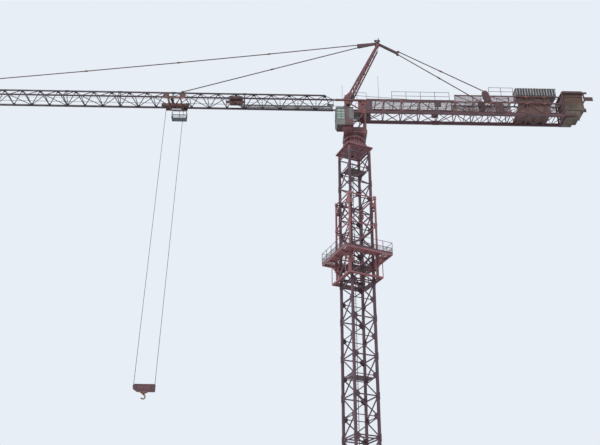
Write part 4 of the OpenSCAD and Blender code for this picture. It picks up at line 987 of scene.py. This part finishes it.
def ropeDetails(r):
    up, low = np.array(ropeGuides["upper"], float), np.array(ropeGuides["lower"], float)
    sheave, radius, x, z = r["sheave"], r["radius"], r["trolley"], r["z"]
    # From the drum over the upper guide sheave, down and round the lower one
    path = np.concatenate([[r["drum"]], [up + [2, 0, sheave]], arc(up, sheave, 88, 180, 14),
                           [[up[0] - sheave, 0, low[2]]], arc(low, sheave, 0, -90, 14)[1:],
                           [[low[0] - 2, 0, z]]])
    makePiece("hoistRopeAtHead", [pipe(path, radius, 8)], "upperworks", "rope", smooth=True)
    inner, outer = x + r["gap"] + sheave, x - r["gap"] - sheave
    straight("hoistRopeInJib", [low[0] - 2, 0, z], [inner, 0, z], radius)
    straight("hoistRopeToTip", [r["tipEnd"], 0, z], [outer, 0, z], radius)
    wraps = [pipe(arc([inner, 0, r["fall"]], sheave, 90, 180, 16), radius, 8),
             pipe(arc([outer, 0, r["fall"]], sheave, 90, 0, 16), radius, 8)]
    makePiece("ropeOnTrolley", wraps, "trolley", "rope", smooth=True)
    for s, name in ((-1, "outerFall"), (1, "innerFall")):
        at = x + s * r["gap"]
        fall = straight(name, [at, 0, r["fall"]], [at, 0, r["hook"]], radius)
        if s < 0:
            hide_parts("hoist_ropes")
    c = r["gap"] - sheave
    under = np.concatenate([arc([x - c, 0, r["hook"]], sheave, 180, 270, 14),
                            arc([x + c, 0, r["hook"]], sheave, 270, 360, 14)])
    makePiece("ropeOnBlock", [pipe(under, radius, 8)], "hook_block", "rope", smooth=True)

    # Pulling rope of the trolley: from its drum to a pulley at the root, and over the sheave at the tip
    root, tip = np.array(r["root"]), np.array(r["tip"])
    lines = [pipe(np.concatenate([[r["winch"][0]], arc(root, 10, 90, -60, 14)]), 1.1, 6),
             pipe(np.concatenate([[r["winch"][1]], arc(tip, 13.1, 88, 140, 8)]), 1.1, 6)]
    makePiece("trolleyRope", lines, "upperworks", "rope", smooth=True)
    rim = [(2, -4), (9, -4), (10.5, -3), (8.6, -1), (8.6, 1), (10.5, 3), (9, 4), (2, 4)]
    arms = bars([root + [56, -6, 0], root + [56, 6, 0]], [root + [-5, -6, 0], root + [-5, 6, 0]], 3, 7)
    makePiece("rootPulley", [turnedShapes(rim, [root], alongY, 24), arms,
                             turnedShapes([(2, -8), (2, 8)], [root], alongY, 12)],
              "upperworks", "bare_steel", smooth=True)
    print("ropes")


ropeDetails(ropes)

# coverLow and coverHigh: the foot and the top of the near cover sheet, from the bed
winch = {"x": -1160, "z": 4800.6, "bed": 4776.6, "coverLow": (0, -56, 12), "coverHigh": (0, -18, 74)}


def drumWinding(centre, radius, half, pitch):
    # a rope wound side by side: the radius rises and falls once in each turn
    y = np.linspace(-half, half, int(2 * half / pitch) * 6 + 1)
    wave = radius + pitch * 0.42 * np.abs(np.sin(np.pi * (y + half) / pitch))
    return turnedShapes(np.column_stack([wave, y]), [centre], alongY, 40)


def trolleyWinchDetails(w):
    x, bed = w["x"], w["bed"]
    makePiece("trolleyWinding", [drumWinding((x, -15, w["z"]), 15.0, 12.0, 2.4)],
              "upperworks", "rope", smooth=True)
    fins = np.arange(x + 38, x + 58, 3.0)
    shapes = [boxes(points(fins, -31.5, bed + 8), points(fins + 1.2, 1.5, bed + 40)),
              boxes([[x - 70, -31, bed + 56]], [[x - 48, -5, bed + 58]]),
              turnedShapes([(6, 0), (6, 3), (5, 4)], [[x, -33, w["z"]]], towardsCab, 16)]
    makePiece("trolleyWinchFins", shapes, "upperworks", "brown_paint", "winchPaint")
    # Cover sheets that lean in with the jib's sides, with ribs across them
    low, high = np.array(w["coverLow"]) + [0, 0, bed], np.array(w["coverHigh"]) + [0, 0, bed]
    slope = unit(high - low)
    length = float(np.linalg.norm(high - low))
    sheet = plates([(-66, -length / 2), (62, -length / 2), (62, length / 2), (-66, length / 2)],
                   (low + high) / 2 + [x, 0, 0], alongX, slope, 1.4)
    foot = points(x + np.arange(-58, 60, 14.0), low[1] - 1.6, low[2] + 4)
    lean = bars(foot, foot + slope * (length - 10), 3, 3)
    makePiece("trolleyWinchCover", bothSides(sheet, lean), "upperworks", "brown_paint", "winchPaint")


trolleyWinchDetails(winch)
print("head, frame, ties and jib dressed")


# Cab

# sill and head: from the floor and the roof to the side windows; sideBars and frontBars: from their sills
# door, doorStrip, cooler and seat: from the cab's front, and the seat's height over the floor
cab = {"x0": -185, "x1": -15, "y0": -210, "y1": -95, "z0": 4390.6, "z1": 4592.6,
       "sill": 62, "head": 16, "window": (12, 88.4), "sideBars": (34, 58, 92), "frontBars": (44, 90),
       "door": 98, "doorStrip": (124.5, 128), "cooler": (92, 142, 26), "seat": (78, 27)}


def frameRing(lo, hi, wide, thick, axis):
    # four strips round a rectangle that faces along one axis, two of them fitted between the others
    lo, hi = np.array(lo, float), np.array(hi, float)
    a, b = [i for i in range(3) if i != axis]
    strips = []
    for one, two, reach in ((a, b, wide / 2), (b, a, -wide / 2)):
        for end in (lo, hi):
            p, q = lo.copy(), hi.copy()
            p[one] = end[one] - wide / 2
            q[one] = end[one] + wide / 2
            p[two] -= reach
            q[two] += reach
            p[axis], q[axis] = lo[axis] - thick / 2, lo[axis] + thick / 2
            strips.append(boxes([p], [q]))
    return strips


def soften(obj, width):
    # rounds the edges of a piece
    bevel = obj.modifiers.new("roundedEdges", "BEVEL")
    bevel.width = width * metre
    bevel.segments = 3
    bevel.limit_method = "ANGLE"


def cabDetails(c):
    x0, x1, y0, y1, z0, z1 = (c[side] for side in ("x0", "x1", "y0", "y1", "z0", "z1"))
    # Rubber round the windows, and dark bars across the side windows and the front window
    wx0, wx1 = x0 + c["window"][0], x0 + c["window"][1]
    wz0, wz1 = z0 + c["sill"], z1 - c["head"]
    rubber = []
    for y in (y0 - 0.4, y1 + 0.4):
        rubber += frameRing((wx0, y, wz0), (wx1, y, wz1), 4, 1.8, 1)
    fy0, fy1, fz0, fz1 = y0 + 10, y1 - 10, wz0 - 20, wz1 - 6
    rubber += frameRing((x0 + 0.2, fy0, fz0), (x0 + 0.2, fy1, fz1), 4, 1.8, 0)
    z = wz0 + np.array(c["sideBars"])
    for y in (y0 - 0.2, y1 + 0.2):
        rubber.append(boxes(points(wx0, y - 0.9, z - 1.6), points(wx1, y + 0.9, z + 1.6)))
        rubber.append(boxes([[wx0 + 38, y - 0.7, wz0]], [[wx0 + 41, y + 0.7, wz1]]))
    z = fz0 + np.array(c["frontBars"])
    rubber.append(boxes(points(x0 - 0.7, fy0, z - 1.4), points(x0 + 0.9, fy1, z + 1.4)))
    makePiece("windowRubber", rubber, "upperworks", "cab_paint", "windowRubber")

    # Door in the rear half: a raised ribbed panel with a middle strip, hinges and a pull bar;
    # a wiper on the front window
    dx0, dx1 = x0 + c["door"], x1 - 10
    strip0, strip1 = c["doorStrip"]
    door = [boxes([[dx0, y0 - 1.6, z0 + 8]], [[dx1, y0 - 0.1, z1 - 12]])]
    door += frameRing((dx0, y0 - 1.6, z0 + 8), (dx1, y0 - 1.6, z1 - 12), 2.4, 1.6, 1)
    door.append(boxes([[x0 + strip0, y0 - 3, z0 + 9]], [[x0 + strip1, y0 - 1, z1 - 13]]))
    x = np.arange(dx0 + 12, dx1 - 8, 9.0)
    door.append(boxes(points(x, y0 - 2.6, z0 + 20), points(x + 3, y0 - 1.4, z1 - 30)))
    makePiece("cabDoorPanel", door, "upperworks", "cab_paint")
    hinges = turnedShapes([(1.8, -7), (1.8, 7)], points(dx1 + 1, y0 - 2, [z0 + 36, z1 - 40]), alongZ, 12)
    pull = pipe(points(dx0 + 6, y0 - np.array([1, 5, 5, 1]), z0 + np.array([70, 74, 104, 108])), 1.1, 8)
    wiper = pipe(points(x0 - np.array([1, 2.6, 2.6]), [-150, -150, -128], fz0 + np.array([2, 6, 62])),
                 0.8, 6)
    makePiece("cabFittings", [hinges, pull, wiper], "upperworks", "bare_steel", smooth=True)

    # Roof: a raised tray and a cooling unit with slots
    start, end, inset = c["cooler"]
    roof = [boxes([[x0 + 6, y0 - 3, z1 - 3]], [[x1 + 2, y1 + 3, z1 + 2.5]]),
            boxes([[x0 + start, y0 + inset, z1 + 2]], [[x0 + end, y1 - inset, z1 + 26]])]
    x = np.arange(x0 + start + 4, x0 + end - 2, 5.0)
    roof.append(boxes(points(x, y0 + 24.8, z1 + 6), points(x + 2, y1 - 24.8, z1 + 22)))
    makePiece("cabRoof", roof, "upperworks", "cab_paint")
    # Belly: cross members under the floor
    x = x0 + np.array([22, 70, 122, 160])
    belly = [boxes(points(x, y0 + 2, z0 - 8), points(x + 8, y1 - 2, z0 + 0.5)),
             boxes(points(x0 + 16, [y0 + 1, y1 - 9], z0 - 6), points(x1 - 3, [y0 + 9, y1 - 1], z0 + 0.5))]
    makePiece("cabBelly", belly, "upperworks", "dark_paint")

    # Seat and control stands inside, seen through the glass
    place = np.array([x0 + c["seat"][0], (y0 + y1) / 2, z0 + c["seat"][1]])
    inside = [boxes(place + [[-24, -24, 38], [16, -22, 44]], place + [[22, 24, 50], [26, 22, 118]]),
              turnedShapes([(18, 0), (16, 4), (7, 6), (6, 38), (14, 40)], [place], alongZ, 24)]
    seatPiece = makePiece("operatorSeat", inside, "upperworks", "cab_paint", "seatFabric")
    soften(seatPiece, 3.0)
    stands = [boxes(place + [[-42, -42, 0], [-42, 28, 0]], place + [[-4, -28, 52], [-4, 42, 52]]),
              turnedShapes([(1.4, 0), (1.2, 16), (3, 18), (3, 24), (1.5, 27)],
                           place + [[-28, -35, 52], [-28, 35, 52]], alongZ, 14)]
    makePiece("controlStands", stands, "upperworks", "cab_paint", "windowRubber")


cabDetails(cab)
print("cab dressed")


# Counter-jib

# step: the joint at which the rails rise to the raised level; deckMesh: start and length of each field
counter = {"x0": 120.3, "x1": 2066, "half": 83, "z": 4637.6, "top": 4775.6, "raised": 4854.6, "bays": 11,
           "step": 5, "tie": 1310, "splice": 4, "beamSplices": (3, 6, 9), "wire": 4.5,
           "deckMesh": ((130, 1426), (1962, 100)), "meshEnd": 1612.0, "walk": (1090, 2040),
           "pole": 250, "hoop": ([36, 36, 42, 122, 128, 128], [4781, 4864, 4868, 4868, 4864, 4781])}


def counterDetails(c):
    x = c["x0"] + (c["x1"] - c["x0"]) / c["bays"] * np.arange(c["bays"] + 1)
    near, y, z, top, raised = -c["half"], -c["half"] - 5.6, c["z"], c["top"], c["raised"]
    # Gussets along the beams and rails
    outline = [(-22, 0), (22, 0), (16, 16), (-16, 16)]
    low = facePlates(outline, points(x[1:-1], y - 1.2, z + 12), 1.6)
    high = facePlates(flipped(outline), points(x[1:-1], y, top + 3), 1.6)
    late = facePlates(flipped(outline), points(x[c["step"] + 1:-1], y, raised + 3), 1.6)
    makePiece("counterGussets", bothSides(low, high, late), "upperworks", "oxide_paint",
              "rustedPlatePaint")

    # Pinned splice of the two halves, on the rails and on the beams
    sx = x[c["splice"]]
    tops = boxes([[sx - 33, y - 3.4, top - 72]], [[sx + 33, y, top + 8]])
    lows = boxes([[sx - 36, y - 4.6, z - 19]], [[sx + 36, y - 1.2, z + 34]])
    makePiece("counterSplices", bothSides(tops, lows), "upperworks", "dark_paint")
    spots = np.concatenate([grid(sx + np.array([-20, 20]), y - 3.4, top + np.array([-60, -30, 0])),
                            grid(sx + np.array([-24, 24]), y - 4.6, z + np.array([-6, 22]))])
    pins = turnedShapes([(4.4, 0), (4.4, 2), (3.4, 2.8)], spots, towardsCab, 16)
    makePiece("spliceBolts", bothSides(pins), "upperworks", "bare_steel")

    # Flanges of the bottom beams, with bolted splices
    flange = boxes(points(c["x0"] + 2, near - 9.5, [z - 17, z + 13]),
                   points(c["x1"] - 2, near + 7.6, [z - 14.6, z + 15.2]))
    sx = x[list(c["beamSplices"])]
    cover = boxes(points(sx - 30, near - 9.9, z - 12), points(sx + 30, near - 7.4, z + 11))
    makePiece("beamFlanges", bothSides(flange, cover), "upperworks", "dark_paint")
    spots = grid(sx[:, None] + np.array([-22, -11, 11, 22]), near - 9.9, [z - 7, z + 6])
    makePiece("beamBolts", bothSides(bolts(spots)), "upperworks", "bare_steel")

    # Wire mesh on the open deck, in front of the winch and behind it
    mesh = []
    for start, length in c["deckMesh"]:
        mesh += wireMesh([start, -76, top + 4.6], length, 152, 8)
    makePiece("deckMesh", mesh, "upperworks", "grating", "mauveMeshPaint")
    # Close wire mesh on the raised part, before the tie bracket and behind it
    shapes = []
    for start, end in ((x[c["step"]] + 6, c["tie"] - 40.0), (c["tie"] + 50.0, c["meshEnd"])):
        shapes += netting(np.arange(start, end, c["wire"]), np.arange(top + 7, raised - 4, c["wire"]),
                          (start, end), (top + 4, raised - 4), near - 5.9, -0.8, 1.1)
    makePiece("sideMesh", bothSides(*shapes), "upperworks", "grating", "mauveMeshPaint")

    # Bolted doubler plates on each tie bracket; near side only, a strut down to a ribbed foot plate
    tie = c["tie"]
    doubler = facePlates([(-22, -72), (34, -72), (44, -20), (30, 34), (12, 56), (-12, 56), (-30, 34),
                          (-34, -20)], [[tie, near - 9.3, raised - 4]], 2.4)
    strut = bars([[tie + 20, near + 8, raised - 30]], [[tie + 122, near + 8, z + 84]], 18, 14)
    foot = facePlates([(-46, 0), (46, 0), (46, 92), (24, 122), (-30, 128), (-46, 104)],
                      [[tie + 126, near - 10.4, z + 6]], 3)
    u = tie + np.array([90, 124, 158])
    ribs = boxes(points(u, near - 15, z + 8), points(u + 4, near - 11.6, z + 98))
    makePiece("bracketPlates", bothSides(doubler) + [strut, foot, ribs], "upperworks", "brown_paint",
              "darkRedPaint")
    spots = points(tie + np.array([107, 141, 107]), near - 11.8, z + np.array([96, 70, 36]))
    pads = turnedShapes([(7, 0), (7, 2), (5.5, 3)], spots, towardsCab, 20)
    makePiece("bracketPads", [pads], "upperworks", "bare_steel", "rustedPlatePaint")
    spots = grid(tie + np.array([-20, -6, 8, 22]), near - 10.6, raised + np.array([-56, -24, 4, 24]))
    makePiece("bracketBolts", bothSides(bolts(spots, towardsCab, 2.4, 1.8)), "upperworks", "bare_steel")

    # Toe boards along the front deck
    toe = boxes([[c["x0"] + 10, near - 1, top + 4.7]], [[x[c["step"]] - 6, near + 1, top + 20]])
    makePiece("toeBoards", bothSides(toe), "upperworks", "oxide_paint")
    # Service walk along the near beam under the winch
    start, end = c["walk"]
    wx = np.arange(start, end, 24.0)
    walk = [boxes(points(wx, near + 9.4, z + 15.4), points(wx + 22, -36, z + 17.4)),
            boxes([[start - 6, -40, z + 9]], [[end + 4, -34, z + 20]])]
    makePiece("serviceWalk", walk, "upperworks", "brown_paint")
    # Thin pole and two pipe hoops at the front of the deck
    pole = turnedShapes([(2.2, 0), (1.6, 30), (1.3, 290), (0.5, 300)], [[c["pole"], near, top + 5]],
                        alongZ, 12)
    hoop = pipe(points(c["hoop"][0], -84, c["hoop"][1]), 1.8, 8)
    makePiece("deckPole", [pole] + bothSides(hoop), "upperworks", "dark_paint", smooth=True)


counterDetails(counter)

# terminals and lid: the low and the high corners of their boxes; guards: their ends, foot and top
hoist = {"drum": (1690, 0, 4730.6), "motor": (1887, -20, 4722.6), "brake": (1770, -2, 4726.6),
         "shaft": (1764, 44, 4730.6), "terminals": ((1868, -8, 4758), (1900, 14, 4776)),
         "lid": (((1792, -58, 4772), (1800, -30, 4776)), ((1848, 18, 4776), (1840, 0, 4784))),
         "guards": (1786, 1854, 4664, 4786)}


def hoistDetails(h):
    drum, motor = np.array(h["drum"]), np.array(h["motor"])
    makePiece("hoistWinding", [drumWinding(drum, 43.0, 45.0, 4.6)], "upperworks", "rope", smooth=True)
    # Bolts round the drum flanges, and pedestal bearings
    ring = around(16)[0][:, [0, 2, 1]] * 53 + drum + [0, -50.2, 0]
    bearing = turnedShapes([(22, 0), (22, 5), (17, 7.6), (9, 7.6), (9, 12)], drum + [0, -61, 0],
                           towardsCab, 32)
    makePiece("drumBolts", bothSides(bolts(ring, towardsCab, 2.0, 1.8), bearing), "upperworks",
              "bare_steel")
    # Fins and cowl of the motor, lid of the gearbox, brake disc and shaft
    radial, side = [v[:, [2, 0, 1]] for v in around(30)]
    fins = plates([(0, -0.9), (6, -0.6), (6, 0.6), (0, 0.9)], radial * 33 + motor, radial, side, 62)
    cowl = turnedShapes([(40, 0), (40, 10), (37, 13), (12, 14)], motor + [33, 0, 0], alongX, 32)
    box = [boxes(*h["terminals"]), boxes(*h["lid"])]
    makePiece("hoistMotor", [fins, cowl] + box, "upperworks", "brown_paint", smooth=True)
    disc = turnedShapes([(10, -8), (10, -3), (32, -3), (32, 3), (10, 3), (10, 8)], h["brake"], alongY, 40)
    shaft = turnedShapes([(7, 0), (7, 60)], h["shaft"], alongX, 20)
    makePiece("brakeDisc", [disc, shaft], "upperworks", "bare_steel", smooth=True)
    # Pipe guards over the gearbox
    start, end, foot, top = h["guards"]
    guard = [pipe(points([start, start, end, end], y, [foot, top, top, foot]), 2.2, 8) for y in (-58, 26)]
    makePiece("gearGuards", guard, "upperworks", "oxide_paint", smooth=True)


hoistDetails(hoist)

# guard: the start, end, foot and top of the sheet beside the winch
housing = {"x0": 1622, "x1": 2020, "y0": -76, "y1": 20, "z0": 4865.6, "z1": 4955.6,
           "doors": (1650, 1760, 1870), "doorL": 96, "hoop": 27.0, "guard": (1626, 1944, 4658, 4862)}


def housingDetails(h):
    x0, x1, y0, y1, z0, z1 = (h[side] for side in ("x0", "x1", "y0", "y1", "z0", "z1"))
    # Roof with an overhang and ridges, louvres between the ribs on the near side
    x = np.arange(x0 + 8, x1 - 6, 36.0)
    roof = [boxes([[x0 - 4, y0 - 7, z1 - 0.5]], [[x1 + 4, y1 + 5, z1 + 4]]),
            boxes(points(x, y0 - 6, z1 + 3.6), points(x + 5, y1 + 4, z1 + 7))]
    makePiece("housingRoof", roof, "upperworks", "grating")
    at = grid(np.arange(x0 + 17, x1 - 12, 18.0), y0 - 1.4, np.arange(z0 + 14, z1 - 12, 6.0))
    makePiece("housingSlats", [bars(at, at + [12, 0, 0], 5, 1.4)], "upperworks", "grating")
    # Far side: doors with frames and handles
    doors = []
    for dx in h["doors"]:
        end = dx + h["doorL"]
        doors.append(boxes([[dx, y1 - 0.2, z0 + 10]], [[end, y1 + 1.6, z1 - 10]]))
        doors += frameRing((dx, y1 + 1.6, z0 + 10), (end, y1 + 1.6, z1 - 10), 3, 1.6, 1)
        doors.append(boxes([[end - 12, y1 + 2, z0 + 40]], [[end - 9, y1 + 5, z0 + 56]]))
    makePiece("housingDoors", doors, "upperworks", "grating")
    ears = [pipe(arc([x, y, z1 + 8], 5, 0, 180, 12), 1.4, 8)
            for x in (x0 + 30, x1 - 30) for y in (y0 + 12, y1 - 12)]
    makePiece("housingEars", ears, "upperworks", "bare_steel", smooth=True)

    # Half-round hoops up the near side and over the roof's edge, a dark gap between each two
    near, top = y0 - 7.5, z1 + 7
    bend = arc([near + 12, 0, top - 12], 12, 180, 90, 7)
    side = np.concatenate([[[near, 0, z0 + 4]], bend, [[y1 + 2, 0, top]]])
    hoops = [pipe(points(x, side[:, 0], side[:, 2]), 5.0, 8) for x in np.arange(x0 + 10, x1 - 4, h["hoop"])]
    makePiece("housingHoops", hoops, "upperworks", "grating", "paleMetal", smooth=True)
    # Ribbed guard sheet on the near side of the winch, hung from the housing's bearers
    gx0, gx1, gz0, gz1 = h["guard"]
    rib = np.arange(gx0 + 6, gx1 - 4, 24.0)
    sheet = [boxes([[gx0, -69, gz0]], [[gx1, -67, gz1]]),
             boxes(points(rib, -70.6, gz0 + 4), points(rib + 4, -65.4, gz1 - 4))]
    makePiece("winchGuard", sheet, "upperworks", "brown_paint")


housingDetails(housing)

# cut: how much higher each slab ends at its foot
slabs = {"x0": 2078, "pitch": 49.4, "t": 49, "y": 80, "cut": (0, 0, 24, 88), "low": 4613.6,
         "top": 4921.9, "rods": (4700, 4860)}


def slabDetails(s):
    # Lifting loops on top, cast seams, tie rods through the slabs, and a painted front plate
    loops, strips = [], []
    for k, cut in enumerate(s["cut"]):
        x = s["x0"] + k * s["pitch"] + s["t"] / 2
        loops += [pipe(arc([x, y, s["top"]], 9, 0, 180, 14), 2.0, 8) for y in (-52, 52)]
        for z in (s["low"] + cut + 14, s["low"] + cut + 96, s["top"] - 60):
            strips.append(boxes([[x - 20, -s["y"] - 0.8, z]], [[x + 20, -s["y"] + 0.2, z + 2]]))
    makePiece("slabLoops", loops, "upperworks", "bare_steel", smooth=True)
    makePiece("slabSeams", bothSides(*strips), "upperworks", "concrete")
    rods = turnedShapes([(3.4, -3), (3.4, 206), (2.6, 207)], grid(s["x0"] - 1, [-81.5, 81.5], s["rods"]),
                        alongX, 12)
    makePiece("slabRods", [rods], "upperworks", "dark_paint", smooth=True)
    plate = boxes([[s["x0"] - 0.9, -78, s["low"] + 4]], [[s["x0"] - 0.2, 78, 4890]])
    makePiece("slabFront", [plate], "upperworks", "oxide_paint", "maroonPaint")


slabDetails(slabs)
print("counter-jib dressed")


# Trolley, basket and hook block

# wheels and sheaves: their places along the jib from the trolley's middle; basket: low and high corner
trolley = {"x": -1762, "z": 4759.6, "plate": 101, "wheels": (-94, -66, 66, 94), "sheaves": 110.5,
           "basket": ((-1810, 107, 4661.6), (-1662, 167, 4747.6)), "meshH": 44, "wire": 6.0}


def trolleyDetails(t):
    x, z, side = t["x"], t["z"], -t["plate"] - 4
    hubs = turnedShapes([(5, 0), (5, 2), (3, 3.4)], grid(x + np.array(t["wheels"]), side, z + 20.3),
                        towardsCab, 16)
    corner = grid(x + np.array([-104, -56, 56, 104]), side, [z - 6, z + 34])
    makePiece("trolleyHubs", bothSides(hubs, bolts(corner)), "trolley", "bare_steel")
    # Ribs on the wheel plates, diagonal stays in the frame, and pins of the rope sheaves
    u = x + np.array([-100, -60, 60, 100])
    ribs = boxes(points(u - 1.5, side - 2.5, z - 12), points(u + 1.5, side + 0.1, z + 40))
    stays = bars(points([x - 60, x + 60], -97, z - 6), points([x + 60, x - 60], 97, z - 6), 5, 5)
    makePiece("trolleyRibs", bothSides(ribs) + [stays], "trolley", "brown_paint", "winchPaint")
    pins = turnedShapes([(5, -12), (5, 12)], points([x - t["sheaves"], x + t["sheaves"]], 0, z - 22),
                        alongY, 16)
    makePiece("trolleySheavePins", [pins], "trolley", "bare_steel", smooth=True)


def basketDetails(t):
    # Mesh on the four sides, and a floor of raised studs
    lo, hi = np.array(t["basket"])
    wire = t["wire"]
    levels, rise = np.arange(lo[2] + 8, lo[2] + t["meshH"], wire), (lo[2] + 3, lo[2] + t["meshH"])
    shapes = []
    for along, across, order in ((0, 1, (0, 1, 2)), (1, 0, (1, 0, 2))):
        for depth in (lo[across] + 1.5, hi[across] - 1.5):
            shapes += netting(np.arange(lo[along] + 6, hi[along] - 3, wire), levels,
                              (lo[along] + 3, hi[along] - 3), rise, depth, 0.7, 0.8, order)
    makePiece("basketMesh", shapes, "trolley", "grating", "basketPaint")
    spots = grid(np.arange(lo[0] + 8, hi[0] - 6, 9.0), np.arange(lo[1] + 8, hi[1] - 6, 9.0), lo[2] + 3.3)
    studs = plates([(-3, 0), (0, -1), (3, 0), (0, 1)], spots, unit(np.array([1.0, 1.0, 0])),
                   unit(np.array([-1.0, 1.0, 0])), 0.7)
    makePiece("basketFloor", [studs], "trolley", "grating", "basketPaint")


trolleyDetails(trolley)
basketDetails(trolley)

# sheave: from the middle to each sheave's pin; out: from the middle to a cheek's outer face
block = {"x": -1762, "z": 1892, "sheave": 62.5, "out": 9.5}


def blockDetails(b):
    x, z, y = b["x"], b["z"], -b["out"]
    pinX = [x - b["sheave"], x + b["sheave"]]
    nuts = bolts(points(pinX, y - 0.2, z), towardsCab, 6.0, 3.2)
    rim = bolts(grid([x - 24, x + 24], y, z + 14), towardsCab, 2.2, 1.8)
    low = bolts(grid([x - 16, x + 16], y, z - 29), towardsCab, 2.4, 1.8)
    makePiece("blockNuts", bothSides(nuts, rim, low), "hook_block", "bare_steel")
    # Doubler plates round the sheave pins and two stiffeners along each cheek
    doubler = turnedShapes([(13, 0), (13, 1.4), (12, 1.8)], points(pinX, y, z), towardsCab, 28)
    rail = boxes(points(x - 74, y - 1.6, [z - 22, z + 20]),
                 points([x + 88, x + 86], y + 0.2, [z - 18.5, z + 23]))
    makePiece("blockPlates", bothSides(doubler, rail), "hook_block", "block_red")
    # Yoke plates under the block, and a wide collar on the hook's shank
    outline = [(-46, 4), (-44, -2), (-20, -19), (20, -19), (44, -2), (46, 4)]
    yoke = facePlates(outline, [[x, -8, z - 29]], 2.6)
    makePiece("hookYoke", bothSides(yoke), "hook_block", "block_red", "hookPaint")
    collar = turnedShapes([(7, 0), (12, 2), (13, 5), (11, 8), (6, 9)], [[x, 0, z - 58.5]], alongZ, 28)
    makePiece("hookCollar", [collar], "hook", "bare_steel", "hookPaint", smooth=True)


blockDetails(block)
print("trolley and hook block dressed")
